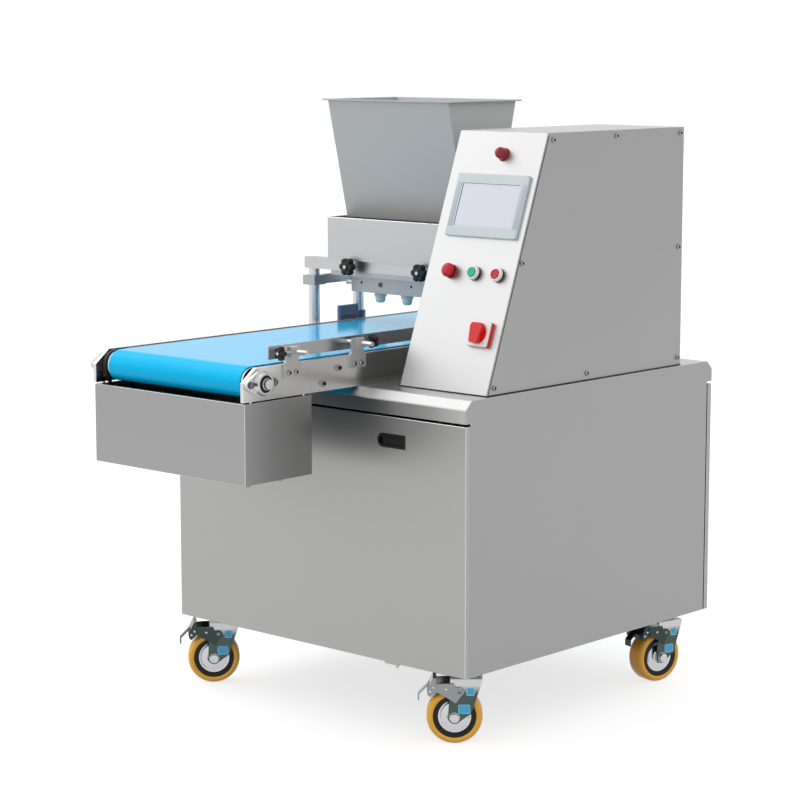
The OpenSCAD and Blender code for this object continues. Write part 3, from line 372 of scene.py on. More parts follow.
def zincFinish(bright, dull, fadeTop=0.122, fade=0.016):
    # plated pressings, clouded: the plain zinc tone up under the plate, and below fadeTop a dark greenish painted shade
    # and reflection that deepens towards the wheel
    f = Finish("zincSteel")
    low = ((fadeTop - f.axes(f.spot())[2]) / fade).least(1.0).most(0.0)
    fine, cloud = f.noise(180.0, 3.0), f.noise(40.0, 3.0)
    legShade = f.spread(cloud, dull, 0.75, 1.35)
    f.surface(Base_Color=f.blend(low, bright, legShade), Metallic=0.95, Roughness=0.28 + fine * 0.16)
    return f.bump(fine, 0.04, 0.0004).material


def tyreFinish(colour):
    # cast polyurethane: warm, with cloudy lighter and darker parts
    f = Finish("orangeTyre")
    fine, cloud = f.noise(260.0, 3.0), f.noise(22.0, 3.0)
    f.surface(Base_Color=f.spread(cloud, colour, 0.86, 1.12), Roughness=0.34 + fine * 0.1,
              Coat_Weight=0.15, Coat_Roughness=0.2)
    return f.bump(fine, 0.05, 0.0004).material


def reflectorFinish(field, seam):
    # prism cells behind a clear face
    f = Finish("reflectorNavy")
    cells = f.node("ShaderNodeTexVoronoi", {"feature": "DISTANCE_TO_EDGE"}, Vector=f.spot(), Scale=260.0)
    border = cells < 0.08
    f.surface(Base_Color=f.blend(border, field, seam), Roughness=0.14 + border * 0.2, Coat_Weight=0.8,
              Coat_Roughness=0.05)
    return f.bump(cells, 0.3, 0.0006).material


sheetSteel = steel("sheetSteel", tone(166, 166, 165), 0.4)
hopperSteel = steel("hopperSteel", tone(186, 186, 185), 0.55, metal=0.3)
housingSteel = steel("housingSteel", tone(188, 188, 188), 0.4, metal=0.8)
# a lighter copy of the sheet steel, painted light: on the tower shell it stands for the light its sloped face catches,
# on the table's chamfered lips it is a painted highlight
litPanelSteel = steel("litPanelSteel", tone(199, 199, 199), 0.45, grain=0.03, spread=0.01)
# a darker copy of the sheet steel for faces turned aside from the light: painted shade on the side panels and the
# tower's side cover
shadedSideSteel = steel("shadedSideSteel", tone(157, 157, 157), 0.34)
tableSteel = steel("tableSteel", tone(188, 188, 187), 0.32)
boxSteel = steel("boxSteel", tone(154, 154, 154), 0.3)
beamSteel = steel("beamSteel", tone(188, 188, 189), 0.34)
railSteel = steel("railSteel", tone(198, 199, 203), 0.3)
bearingSteel = steel("bearingSteel", tone(196, 196, 197), 0.28)
pedalSteel = steel("pedalSteel", tone(138, 142, 142), 0.2)
# a darkened copy of the pedal steel: painted shade for the pedals that stand in shadow
pedalShadeSteel = steel("pedalShadeSteel", tone(58, 70, 67), 0.26)
# dark copies of the sheet steel: painted shade for parts that stand enclosed, the base frame inside the cabinet and the
# slider bed inside the belt's loop
frameShadeSteel = steel("frameShadeSteel", tone(52, 52, 52), 0.5)
bedShadeSteel = steel("bedShadeSteel", tone(96, 96, 96), 0.45)
brightSteel = steel("brightSteel", tone(198, 199, 201), 0.2)
columnSteel = steel("columnSteel", tone(206, 206, 207), 0.24, grain=0.03)
blockSteel = steel("blockSteel", tone(170, 171, 173), 0.4, metal=0.8)
plateSteel = steel("plateSteel", tone(212, 211, 210), 0.2, grain=0.04)
screwSteel = steel("screwSteel", tone(150, 150, 150), 0.22)
boltSteel = steel("boltSteel", tone(112, 112, 114), 0.26)
blackPlastic = moulded("blackPlastic", tone(15, 15, 16), 0.36, grain=0.1, scale=1200.0, spread=0.2, shine=0.35)
blackRubber = moulded("blackRubber", tone(12, 12, 13), 0.45, grain=0.1, scale=800.0, spread=0.2, shine=0.3)
whitePlastic = moulded("whitePlastic", tone(238, 238, 238), 0.3, coat=0.3, spread=0.02)
# the warm tint is painted in to offset the blue light the belt throws up onto the nozzles
nozzleWhite = moulded("nozzleWhite", tone(255, 243, 230), 0.3, coat=0.1, spread=0.02, clear=0.1)
redPlastic = moulded("redPlastic", tone(226, 14, 20), 0.3, coat=0.12, shine=0.3)
buttonRed = moulded("buttonRed", tone(202, 20, 38), 0.3, coat=0.12, shine=0.3)
redDark = moulded("redDark", tone(128, 10, 16), 0.3, coat=0.2)
greenPlastic = moulded("greenPlastic", tone(20, 184, 134), 0.3, coat=0.12, shine=0.3)
lampRed = moulded("lampRed", tone(150, 8, 26), 0.1, coat=0.35, grain=0.0, shine=0.3)
framePlastic = moulded("framePlastic", tone(202, 213, 214), 0.35, coat=0.2, spread=0.02)
bezelPlastic = moulded("bezelPlastic", tone(178, 190, 201), 0.3, coat=0.2, spread=0.02)
screenGlass = moulded("screenGlass", tone(216, 219, 230), 0.1, coat=0.5, grain=0.0, spread=0.02)
motorPaint = moulded("motorPaint", tone(96, 98, 102), 0.4, coat=0.1)
labelBlue = moulded("labelBlue", tone(48, 184, 236), 0.3, coat=0.3)
labelPale = moulded("labelPale", tone(168, 218, 236), 0.3, coat=0.3)
beltBlue = beltFinish(tone(0, 196, 255))
zincSteel = zincFinish(tone(200, 202, 202), tone(74, 88, 84))
orangeTyre = tyreFinish(tone(255, 182, 58))
reflectorNavy = reflectorFinish(tone(26, 40, 74), tone(60, 84, 120))
reflectorBlue = moulded("reflectorBlue", tone(70, 104, 150), 0.25, coat=0.3)
print("finishes made")

# Camera at the photograph's angle
camera = {"place": (3.4008, -3.8942, 1.391), "azimuth": 42.24, "pitch": 8.5, "lens": 109.02, "sensor": 36, "reach": 100}
azimuth, pitch = math.radians(camera["azimuth"]), math.radians(camera["pitch"])
back = Vector((math.sin(azimuth) * math.cos(pitch), -math.cos(azimuth) * math.cos(pitch), math.sin(pitch)))
only()
bpy.ops.object.camera_add(location=camera["place"])
cam = bpy.context.object
cam.rotation_euler = (-back).to_track_quat("-Z", "Y").to_euler()
cam.data.lens = camera["lens"]
cam.data.sensor_width = camera["sensor"]
cam.data.clip_end = camera["reach"]
bpy.context.scene.camera = cam

# Floor, world and lamps
studio = {"floor": 40.0, "floorGrey": 0.42, "floorGrain": 1.02, "lift": 0.71, "fill": 0.9}
only()
bpy.ops.mesh.primitive_plane_add(size=studio["floor"])
floor = settle(bpy.context.object, "floor")


def seenRays(f):
    rays = {wire.socket.name: wire for wire in f.all("ShaderNodeLightPath")}
    return rays["Is Camera Ray"].most(rays["Is Glossy Ray"]).most(rays["Is Transmission Ray"])


ground = Finish("paleFloor")
grey = (studio["floorGrey"],) * 3
ground.surface(Base_Color=ground.spread(ground.noise(30.0, 2.0), grey, 1.0, studio["floorGrain"]), Roughness=0.9,
               Emission_Color=(1.0, 1.0, 1.0), Emission_Strength=seenRays(ground) * studio["lift"])
floor.data.materials.append(ground.material)
world = bpy.data.worlds.new("studio")
bpy.context.scene.world = world
world.use_nodes = True
air = Finish("studio", world.node_tree)
glow = seenRays(air) * (1 - studio["fill"]) + studio["fill"]
air.node("ShaderNodeOutputWorld", Surface=air.node("ShaderNodeBackground", Color=(1.0, 1.0, 1.0), Strength=glow))
lamps = {"keyLamp": {"place": (-2.6, -2.9, 2.4), "aim": (0.25, -0.3, 0.95), "size": (2.6, 2.4), "power": 20},
         "topLamp": {"place": (-2.3, -1.0, 3.7), "aim": (0.2, -0.4, 0.7), "size": (2.6, 2.2), "power": 24}}
for name, lamp in lamps.items():
    only()
    bpy.ops.object.light_add(type="AREA", location=lamp["place"])
    light = bpy.context.object
    light.name = name
    light.data.shape = "RECTANGLE"
    light.data.size, light.data.size_y = lamp["size"]
    light.data.energy = lamp["power"]
    light.rotation_euler = (Vector(lamp["aim"]) - Vector(lamp["place"])).to_track_quat("-Z", "Y").to_euler()
print("stage set")

# Every node gets its slot's finish first; the pieces below then stand for the ones that show
plain = {
    "stainless_sheet": sheetSteel, "machined_aluminium": brightSteel, "zinc_steel": zincSteel,
    "orange_tyre": orangeTyre, "belt_blue": beltBlue, "black_plastic": blackPlastic, "black_rubber": blackRubber,
    "motor_grey": motorPaint, "white_plastic": whitePlastic, "screen_grey": framePlastic, "lamp_red": lampRed,
    "red_plastic": redPlastic, "green_plastic": greenPlastic, "reflector_navy": reflectorNavy}
# the base frame and the slider bed get dark steel as painted shade
special = {"base_frame": frameShadeSteel, "slider_bed": bedShadeSteel, "nozzles": nozzleWhite, "roller_block": blockSteel}
slotOf = {s["node"]: s["material_slot"] for s in frame["record"]["subparts"]}
for name, node in nodes.items():
    node.data.materials.clear()
    node.data.materials.append(special.get(name, plain[slotOf[name]]))


def paintFoldHighlights(piece):
    # folds are painted in brighter, smoother steel: a painted highlight along the rounded edges
    paint(piece, brightSteel, lambda c, n: max(abs(value) for value in n) < 0.97)
    return piece


# Cabinet: folded sheets
cabinet = {"fold": 0.0022, "lip": 0.003, "halfWide": 0.4065, "halfDeep": 0.408, "tableZ": 0.701, "chamfer": 0.0175,
           "foot": 0.152, "panTop": 0.651}
w, d, top, cut = (cabinet[key] for key in ("halfWide", "halfDeep", "tableZ", "chamfer"))
pans = {"front": {"body": "front_panel", "y": -d}, "rear": {"body": "frame", "y": d}}
for end, pan in pans.items():
    y = pan["y"]
    panFolds = anyOf(onPlanes(x=w, y=y), onPlanes(x=-w, y=y), onPlanes(y=y, z=cabinet["panTop"]),
                     onPlanes(y=y, z=cabinet["foot"]))
    paintFoldHighlights(cover(end + "_panel", end + "Panel", pan["body"], "stainless_sheet", sheetSteel, edges["sheet"],
                      folds=(cabinet["fold"], panFolds)))
# side panels in the darker side steel: painted shade
for side in ("left", "right"):
    paintFoldHighlights(cover(side + "_side_panel", side + "SidePanel", "frame", "stainless_sheet", shadedSideSteel, edges["sheet"]))
tableFolds = anyOf(onPlanes(y=-d, z=top - cut), onPlanes(z=top, y=cut - d), onPlanes(y=d, z=top - cut),
                   onPlanes(z=top, y=d - cut))
tableTop = cover("table_top", "tableTop", "frame", "stainless_sheet", tableSteel, edges["sheet"],
                 folds=(cabinet["lip"], tableFolds))
# the chamfered lips are painted in the lighter panel steel: a painted highlight
paint(tableTop, litPanelSteel, lambda c, n: n.z > 0.35 and abs(n.y) > 0.35)  # the chamfered lips
cover("front_latch", "latchBody", "front_panel", "black_plastic", blackPlastic, edges["sheet"], 3)
cover("latch_paddle", "latchPaddle", "latch_paddle", "black_plastic", blackPlastic, edges["plate"], 3)
print("cabinet dressed")

# Small fasteners, modelled once at the origin along +Z
fasteners = {"screwR": 0.0054, "screwH": 0.0038, "socketR": 0.0027, "boltR": 0.0058, "boltH": 0.0062}


def screwHead(radius, height, socket):
    return spun("screwHead", [(0, height * 0.45), (socket, height * 0.45), (socket, height * 0.97),
                              (radius * 0.66, height * 0.92), (radius * 0.88, height * 0.68), (radius, height * 0.25),
                              (radius, -0.0004), (0, -0.0004)], steps=28)


def hexBolt(radius, height):
    head = rod("hexBolt", radius, (0, 0, 0.0012), (0, 0, height), 6)
    roundEdges(head, radius * 0.13, 2)
    washer = spun("boltWasher", [(0, 0.0014), (radius * 1.18, 0.0014), (radius * 1.26, 0.0008),
                                 (radius * 1.26, -0.0003), (0, -0.0003)], steps=32)
    piece = merged("hexBolt", [head, washer])
    smooth(piece)
    return piece


screw = screwHead(fasteners["screwR"], fasteners["screwH"], fasteners["socketR"])
bolt = hexBolt(fasteners["boltR"], fasteners["boltH"])
rivet = spun("rivet", mm((0, 1.7), (1.2, 1.6), (2.2, 1.1), (2.8, 0.2), (2.8, -0.5), (0, -0.5)), steps=24)


def fasten(source, name, places, normal, body, dark=0.0):
    # one piece holds a row of alike fasteners; faces near each axis are painted black: painted shade in the screws'
    # sockets, and the bare ends of the studs
    heads = [copyOf(source, name, facing(place, normal)) for place in places]
    piece = dress(merged(name, heads), body, "stainless_sheet", screwSteel)
    out = Vector(normal)

    def inSocket(c, n):
        gaps = [c - Vector(place) for place in places]
        return any(gap.cross(out).length < dark and gap.dot(out) > 0.0005 for gap in gaps)

    # black near the axis: painted shade in a screw's socket, the bare end on a stud
    paint(piece, blackRubber, inSocket)


# Casters, modelled in a caster's own frame with the wheel trailing along +X
caster = {"trail": 0.028, "axleZ": 0.056, "legOut": 0.0275, "cheekOut": 0.0308, "channelOut": 0.0288,
          "headings": {"front_left": 228, "front_right": 221, "rear_left": 240, "rear_right": 255},
          "kingpin": (0.3485, 0.329),
          "rivets": [(0.0443, 0.1149, "cheekOut"), (0.0693, 0.1173, "channelOut"), (0.0763, 0.1095, "channelOut")]}
axle = Vector((caster["trail"], 0, caster["axleZ"]))
tyre = spun("tyre", mm((43.4, -20.4), (45, -21.6), (48.4, -22), (52, -20.6), (54.6, -17.2), (56, -12.6), (56, 12.6),
                       (54.6, 17.2), (52, 20.6), (48.4, 22), (45, 21.6), (43.4, 20.4), (43.4, -20.4)),
            axle, (0, 1, 0), 72)
rim = spun("rim", mm((33, -17.6), (34.6, -19.2), (41.2, -20.2), (43.5, -19.6), (43.5, 19.6), (41.2, 20.2), (34.6, 19.2),
                     (33, 17.6), (33, -17.6)), axle, (0, 1, 0), 64)
disc = spun("disc", mm((5.06, -23.2), (10.6, -23.2), (11.8, -22.2), (12.8, -18.6), (15, -16.6), (27.6, -15.4),
                       (30, -16.8), (33.2, -17.4), (33.2, 17.4), (30, 16.8), (27.6, 15.4), (15, 16.6), (12.8, 18.6),
                       (11.8, 22.2), (10.6, 23.2), (5.06, 23.2), (5.06, -23.2)), axle, (0, 1, 0), 64)
axleCap = spun("axleCap", mm((0, 7.3), (3.2, 7.3), (3.9, 8), (6.8, 7.9), (8.8, 7.2), (9.5, 5.6), (9.6, 1.2), (10.6, 1),
                             (10.8, 0.4), (10.8, -0.3), (0, -0.3)),
               (caster["trail"], caster["legOut"], caster["axleZ"]), (0, 1, 0), 40)
mirrorY = Matrix.Scale(-1, 4, (0, 1, 0))
axleCaps = merged("axleCaps", [axleCap, copyOf(axleCap, "axleCapBack", mirrorY)])
heads = []
for x, z, side in caster["rivets"]:
    heads.append(copyOf(rivet, "brakeRivet", facing((x, caster[side], z), (0, 1, 0))))
    heads.append(copyOf(heads[-1], "brakeRivetBack", mirrorY))
brakeRivets = merged("brakeRivets", heads)
labels = {"lowLabel": {"mid": (0.0088, 0.0735), "size": (0.0235, 0.0185), "border": 0.0012, "reach": 0.0025},
          "highLabel": {"mid": (-0.0035, 0.1095), "size": (0.0165, 0.0165), "border": 0.0017, "reach": 0.003}}


def label(name):
    # plain rounded label on the fork's leg, a border and a bare field
    (x, z), (wide, tall), y = labels[name]["mid"], labels[name]["size"], caster["legOut"]
    piece = block(name, (x - wide / 2, y - 0.0003, z - tall / 2), (x + wide / 2, y + 0.0004, z + tall / 2))
    roundEdges(piece, 0.003, 5, lambda a, b: abs(a.y - b.y) > 0.0002)
    pickFaces(piece, lambda c, n: n.y > 0.9)
    bpy.ops.mesh.inset(thickness=labels[name]["border"])
    leave()
    return piece


def onField(name, inner):
    # faces inside a label's border; inner takes them back to the caster's own frame
    (x, z), (wide, tall), reach = (labels[name][key] for key in ("mid", "size", "reach"))

    def test(c, n):
        spot = inner @ c
        outward = (inner.to_quaternion() @ n).y > 0.9
        return outward and abs(spot.x - x) < wide / 2 - reach and abs(spot.z - z) < tall / 2 - reach

    return test


lowLabel, highLabel = label("lowLabel"), label("highLabel")
for place, heading in caster["headings"].items():
    x, y = caster["kingpin"]
    corner = (x if "right" in place else -x, y if "rear" in place else -y, 0)
    spot = Matrix.Translation(corner) @ Matrix.Rotation(math.radians(heading), 4, "Z")
    tag = "".join(part.title() for part in place.split("_"))
    wheel, fork, brake = ("caster_%s_%s" % (kind, place) for kind in ("wheel", "fork", "brake"))
    # the three dark pedals carry painted shade; the front right one keeps the plain pedal steel
    pedal = pedalSteel if place == "front_right" else pedalShadeSteel  # one bright pedal, three dark ones
    dress(copyOf(tyre, "tyre" + tag, spot), wheel, "orange_tyre", orangeTyre, wheel)
    dress(copyOf(rim, "rim" + tag, spot), wheel, "black_plastic", blackRubber)
    dress(copyOf(disc, "disc" + tag, spot), wheel, "zinc_steel", brightSteel)
    cover(fork, "fork" + tag, fork, "zinc_steel", zincSteel, edges["pressed"])
    dress(copyOf(axleCaps, "axleCaps" + tag, spot), fork, "zinc_steel", brightSteel)
    cover(brake, "brake" + tag, brake, "zinc_steel", pedal, edges["sheet"])
    dress(copyOf(brakeRivets, "brakeRivets" + tag, spot), brake, "zinc_steel", brightSteel)
    for source in (lowLabel, highLabel):
        piece = dress(copyOf(source, source.name + tag, spot), fork, "belt_blue", labelPale)
        paint(piece, labelBlue, onField(source.name, spot.inverted()))
drop(tyre, rim, disc, axleCaps, brakeRivets, lowLabel, highLabel)
cover("caster_plates", "casterPlates", "frame", "zinc_steel", brightSteel, edges["plate"])
print("casters dressed")

# Conveyor
conveyor = {"nearX": 0.1065, "farX": -0.3285, "boxFold": 0.006, "boxY": (-0.708, -0.524), "boxZ": (0.539, 0.698),
            "rollerY": (-0.668, 0.65), "rollerZ": 0.7355, "studs": [(-0.449, 0.744), (-0.494, 0.717)],
            "studEnd": 0.0034, "boxScrews": [(0.098, -0.694, 0.539), (0.098, -0.606, 0.539)]}
nearX, farX = conveyor["nearX"], conveyor["farX"]
for side in ("near", "far"):
    cover(side + "_side_plate", side + "SidePlate", "frame", "machined_aluminium", plateSteel, edges["plate"])
boxX, boxY, boxZ = (nearX, farX), conveyor["boxY"], conveyor["boxZ"]
boxFolds = anyOf(*(onPlanes(x=x, y=y) for x in boxX for y in boxY), *(onPlanes(y=y, z=z) for y in boxY for z in boxZ),
                 *(onPlanes(x=x, z=z) for x in boxX for z in boxZ))
paintFoldHighlights(cover("drive_box", "driveBox", "frame", "stainless_sheet", boxSteel, edges["thin"],
                  folds=(conveyor["boxFold"], boxFolds)))
cover("conveyor_belt", "conveyorBelt", "frame", "belt_blue", beltBlue, edges["belt"])

# Flange bearing, modelled once along +Z: hulled flange, turned boss, seal and collar
bearing = {"r": 0.026, "ear": 0.010, "span": 0.032, "flange": 0.009, "soft": 0.0016}
shapes = [rod("bearingFlange", bearing["r"], (0, 0, 0), (0, 0, bearing["flange"]), 64)]
for y in (-bearing["span"], bearing["span"]):
    shapes.append(rod("bearingEar", bearing["ear"], (0, y, 0), (0, y, bearing["flange"]), 40))
flange = merged("bearingFlange", shapes)
edit(flange, "VERT")
bpy.ops.mesh.convex_hull()
leave()
roundEdges(flange, bearing["soft"], 3, lambda a, b: min(a.z, b.z) > bearing["flange"] - 0.0005)
smooth(flange)
boss = spun("bearingBoss", mm((16.6, 8), (24.2, 8), (23.4, 10.5), (21.9, 13), (21.5, 17.6), (20.9, 19.2), (19.8, 20),
                              (17.8, 20), (17, 19.4), (16.6, 17.8), (16.6, 8)), steps=64)
housingPart = merged("bearingHousing", [flange, boss])
boltPair = merged("bearingBolts", [copyOf(bolt, "bearingBolt", facing((0, y, bearing["flange"]), (0, 0, 1)))
                                   for y in (-bearing["span"], bearing["span"])])
seal = spun("bearingSeal", mm((11.4, 16), (16.7, 16), (16.7, 18.2), (11.9, 18.6), (11.4, 18), (11.4, 16)), steps=56)
collar = spun("bearingCollar", mm((10.06, 12), (11.5, 12), (11.5, 21.2), (11.1, 21.8), (10.4, 21.8), (10.06, 21.4),
                                  (10.06, 12)), steps=48)
for x, side, outward in ((nearX, "Near", 1), (farX, "Far", -1)):
    for y, end in zip(conveyor["rollerY"], ("Front", "Rear")):
        spot = Matrix.Translation((x, y, conveyor["rollerZ"])) @ Matrix.Rotation(math.radians(90) * outward, 4, "Y")
        tag = side + end
        piece = dress(copyOf(housingPart, "bearing" + tag, spot), "frame", "machined_aluminium", bearingSteel)
        if tag == "NearFront":
            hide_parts("roller_bearings")
        dress(copyOf(boltPair, "bearingBolts" + tag, spot), "frame", "machined_aluminium", boltSteel)
        dress(copyOf(seal, "bearingSeal" + tag, spot), "frame", "black_rubber", blackRubber)
        dress(copyOf(collar, "bearingCollar" + tag, spot), "frame", "machined_aluminium", brightSteel)
drop(housingPart, boltPair, seal, collar)
for end in ("front", "rear"):
    cover(end + "_roller", end + "Roller", end + "_roller", "machined_aluminium", brightSteel, edges["plate"])
stud = spun("studEnd", mm((0, 9), (2.6, 9), (3.2, 8.2), (3.2, 5.2), (5.6, 5), (6, 4.4), (6, 0.4), (6.6, 0.2),
                          (6.6, -0.4), (0, -0.4)), steps=28)
fasten(stud, "plateStuds", [(nearX, *place) for place in conveyor["studs"]], (1, 0, 0), "frame", conveyor["studEnd"])
fasten(screw, "boxScrews", conveyor["boxScrews"], (0, 0, -1), "frame", fasteners["socketR"])
print("conveyor dressed")

# Tray guide
guide = {"brackets": (-0.581, -0.396, 0.130), "bracketX": 0.1105, "screwZ": 0.7485, "screwGap": 0.0098,
         "bossX": 0.1155, "rodZ": 0.78912, "knobOut": 0.033, "knobH": 0.012, "knobD": 0.029, "studR": 0.003,
         "studFoot": 0.0054, "studEnd": 0.0022, "lobeShare": 0.19, "reflectorX": -0.3355}
cover("guide_rail", "guideRail", "guide_rail", "machined_aluminium", railSteel, edges["pressed"])
cover("guide_brackets", "guideBrackets", "frame", "stainless_sheet", housingSteel, edges["sheet"])
screwPlaces = [(guide["bracketX"], y + side * guide["screwGap"], guide["screwZ"])
               for y in guide["brackets"] for side in (-1, 1)]
fasten(screw, "bracketScrews", screwPlaces, (1, 0, 0), "frame", fasteners["socketR"])


def starKnob(name, across, height, lobes, stud, out):
    # head from z = out up, lobes as rounded rods round a core, a hub below it and the stud's bare end on top
    lobeR = across * guide["lobeShare"]
    ring, low, high, soft = across / 2 - lobeR, out, out + height, height * 0.24
    shell = [spun(name, [(0, low), (ring * 0.9, low), (ring, low + soft / 2), (ring, high - soft),
                         (ring * 0.82, high - soft * 0.3), (ring * 0.55, high + 0.0004), (stud * 1.5, high + 0.0008),
                         (0, high + 0.0008)], steps=48)]
    for turn in range(lobes):
        angle = 2 * math.pi * turn / lobes
        shell.append(spun(name + "Lobe", [(0, low), (lobeR - soft * 0.7, low), (lobeR - soft * 0.2, low + soft * 0.25),
                                          (lobeR, low + soft), (lobeR, high - soft * 1.4),
                                          (lobeR - soft * 0.2, high - soft * 0.6),
                                          (lobeR - soft * 0.7, high - soft * 0.16), (0, high)],
                          (ring * math.cos(angle), ring * math.sin(angle), 0), steps=28))
    hub = spun(name + "Hub", [(0, low - 0.004), (stud * 1.7, low - 0.004), (stud * 1.9, low - 0.0035),
                              (stud * 2.3, low + 0.001), (0, low + 0.001)], steps=36)
    return merged(name, shell + [hub])


def knobStud(name, radius, low, high):
    return spun(name, [(0, low), (radius, low), (radius, high - 0.0006), (radius - 0.0006, high), (0, high)], steps=28)


guideStar = starKnob("guideStar", guide["knobD"], guide["knobH"], 5, guide["studR"], guide["knobOut"])
guideStud = knobStud("guideStud", guide["studR"], guide["studFoot"],
                     guide["knobOut"] + guide["knobH"] + guide["studEnd"])
for y, outward, tag in ((guide["brackets"][0], -1, "Front"), (guide["brackets"][1], 1, "Rear")):
    spot = facing((guide["bossX"], y, guide["rodZ"]), (0, outward, 0))
    body = "guide_knob_" + tag.lower()
    dress(copyOf(guideStar, "guideKnob" + tag, spot), body, "black_plastic", blackPlastic, body)
    dress(copyOf(guideStud, "guideStud" + tag, spot), body, "machined_aluminium", brightSteel)
drop(guideStar, guideStud)
reflector = cover("tray_reflector", "trayReflector", "frame", "reflector_navy", reflectorBlue, edges["pressed"])
paint(reflector, reflectorNavy, lambda c, n: n.x > 0.9 and abs(c.x - guide["reflectorX"]) < 0.0004)
print("tray guide dressed")

# Depositing head
head = {"clampX": (-0.216, -0.006), "clampZ": 0.8985, "clampY": -0.0585, "knobOut": 0.016, "knobH": 0.015,
        "knobD": 0.04, "studR": 0.004, "studFoot": -0.066, "studEnd": 0.0025, "rimX": (-0.2895, 0.0675),
        "rimY": (-0.068, 0.151), "rimZ": 1.004, "rimFold": 0.0024, "midY": 0.0415, "sealX": (-0.284, 0.062),
        "sealFoot": (-0.0059, 0.987), "sealHigh": 0.0145, "sealThick": 0.0022, "hopperLean": math.atan2(0.064, 0.275),
        "pins": [(-0.179, -0.0665, 1.004), (0.01, -0.0665, 1.004)],
        "blockScrews": [(-0.202, 0.0095, 0.853), (-0.026, 0.0095, 0.853)]}
cover("support_columns", "supportColumns", "frame", "machined_aluminium", columnSteel, edges["plate"])
cover("head_beams", "headBeams", "frame", "stainless_sheet", beamSteel, edges["tube"], 3)
cover("side_rail", "sideRail", "frame", "machined_aluminium", blockSteel, edges["bar"])
rimX, rimY, rimZ = head["rimX"], head["rimY"], head["rimZ"]
rimFolds = anyOf(*(onPlanes(z=rimZ, y=y) for y in rimY), *(onPlanes(z=rimZ, x=x) for x in rimX),
                 *(onPlanes(x=x, y=y) for x in rimX for y in rimY))
paintFoldHighlights(cover("roller_housing", "rollerHousing", "frame", "stainless_sheet", housingSteel, edges["sheet"],
                  folds=(head["rimFold"], rimFolds)))
cover("hopper", "hopperShell", "hopper", "stainless_sheet", hopperSteel, edges["pressed"])
# black strips along the hopper's foot, front and rear, put where the gap between hopper and housing lies in shade:
# painted shade
gapShadeFront = block("hopperGapShadeFront", (head["sealX"][0], -head["sealThick"], 0),
                  (head["sealX"][1], 0.0004, head["sealHigh"]))
roundEdges(gapShadeFront, 0.0006, 2)
smooth(gapShadeFront)
gapShadeFront.data.transform(Matrix.Translation((0, *head["sealFoot"])) @ Matrix.Rotation(head["hopperLean"], 4, "X"))
gapShadeRear = copyOf(gapShadeFront, "hopperGapShadeRear", Matrix.Translation((0, 2 * head["midY"], 0)) @ mirrorY)
for piece in (gapShadeFront, gapShadeRear):
    dress(piece, "hopper", "black_rubber", blackRubber)
fasten(rivet, "housingPins", head["pins"], (0, 0, 1), "frame")
cover("nozzle_block", "nozzleBlock", "frame", "machined_aluminium", blockSteel, edges["plate"])
clampStar = starKnob("clampStar", head["knobD"], head["knobH"], 6, head["studR"], head["knobOut"])
clampStud = knobStud("clampStud", head["studR"], head["studFoot"],
                     head["knobOut"] + head["knobH"] + head["studEnd"])
for x, tag in zip(head["clampX"], ("Left", "Right")):
    spot = facing((x, head["clampY"], head["clampZ"]), (0, -1, 0))
    body = "clamp_knob_" + tag.lower()
    dress(copyOf(clampStar, "clampKnob" + tag, spot), body, "black_plastic", blackPlastic, body)
    dress(copyOf(clampStud, "clampStud" + tag, spot), body, "machined_aluminium", brightSteel)
drop(clampStar, clampStud)
fasten(screw, "blockScrews", head["blockScrews"], (0, -1, 0), "frame", fasteners["socketR"])
print("head dressed")

# Control tower, its panel's pieces modelled flat: X across, Y up, Z out of the panel
tower = {"x": (0.1675, 0.3965), "y": (-0.335, 0.304), "z": (0.701, 1.206), "lean": 0.185, "fold": 0.0022,
         "coverScrews": [(-0.135, 1.192), (0.07, 1.194), (0.2905, 1.194), (0.2905, 0.954), (0.2925, 0.718),
                         (-0.02, 0.716), (-0.313, 0.716), (-0.23, 0.954)]}
(leftX, rightX), (frontY, rearY), (footZ, topZ) = tower["x"], tower["y"], tower["z"]
lean = math.atan2(tower["lean"], topZ - footZ)
panel = Matrix(((1, 0, 0, leftX), (0, math.sin(lean), -math.cos(lean), frontY),
                (0, math.cos(lean), math.sin(lean), footZ), (0, 0, 0, 1)))


def slopeEdge(a, b):
    # the left edge of the sloped panel
    offs = [(p.y - frontY - (p.z - footZ) * math.tan(lean), p.x - leftX) for p in (a, b)]
    return all(abs(across) < 0.0004 and abs(aside) < 0.0004 for across, aside in offs)


towerFolds = anyOf(slopeEdge, onPlanes(x=leftX, z=topZ), onPlanes(y=frontY + tower["lean"], z=topZ),
                   onPlanes(x=leftX, y=rearY), onPlanes(y=rearY, z=topZ))
# the tower shell takes the lighter panel steel: painted light
cover("tower_shell", "towerShell", "frame", "stainless_sheet", litPanelSteel, edges["thin"],
      folds=(tower["fold"], towerFolds))
# the side cover in the darker side steel: painted shade
cover("tower_side_cover", "towerCover", "frame", "stainless_sheet", shadedSideSteel, edges["plate"])
fasten(screw, "coverScrews", [(rightX, *place) for place in tower["coverScrews"]], (1, 0, 0), "frame",
       fasteners["socketR"])

# Black strips round the tower's foot, and one beside the panel's right edge in the panel's own frame: painted shade
# lines at these joins
shadeLines = {"FootFront": ((0.1675, -0.3368, 0.7008), (0.3965, -0.3346, 0.7031)),
         "FootRight": ((0.3961, -0.335, 0.7008), (0.3981, 0.304, 0.7028)),
         "FootLeft": ((0.1659, -0.335, 0.7008), (0.1679, 0.304, 0.7028)),
         "Slope": ((0.2284, 0.004, -0.0036), (0.2297, 0.534, -0.0022))}
for key, (low, high) in shadeLines.items():
    shadeLine = block("towerShadeLine" + key, low, high)
    roundEdges(shadeLine, 0.0005, 2)
    smooth(shadeLine)
    if key == "Slope":
        shadeLine.data.transform(panel)
    dress(shadeLine, "frame", "black_rubber", blackRubber)

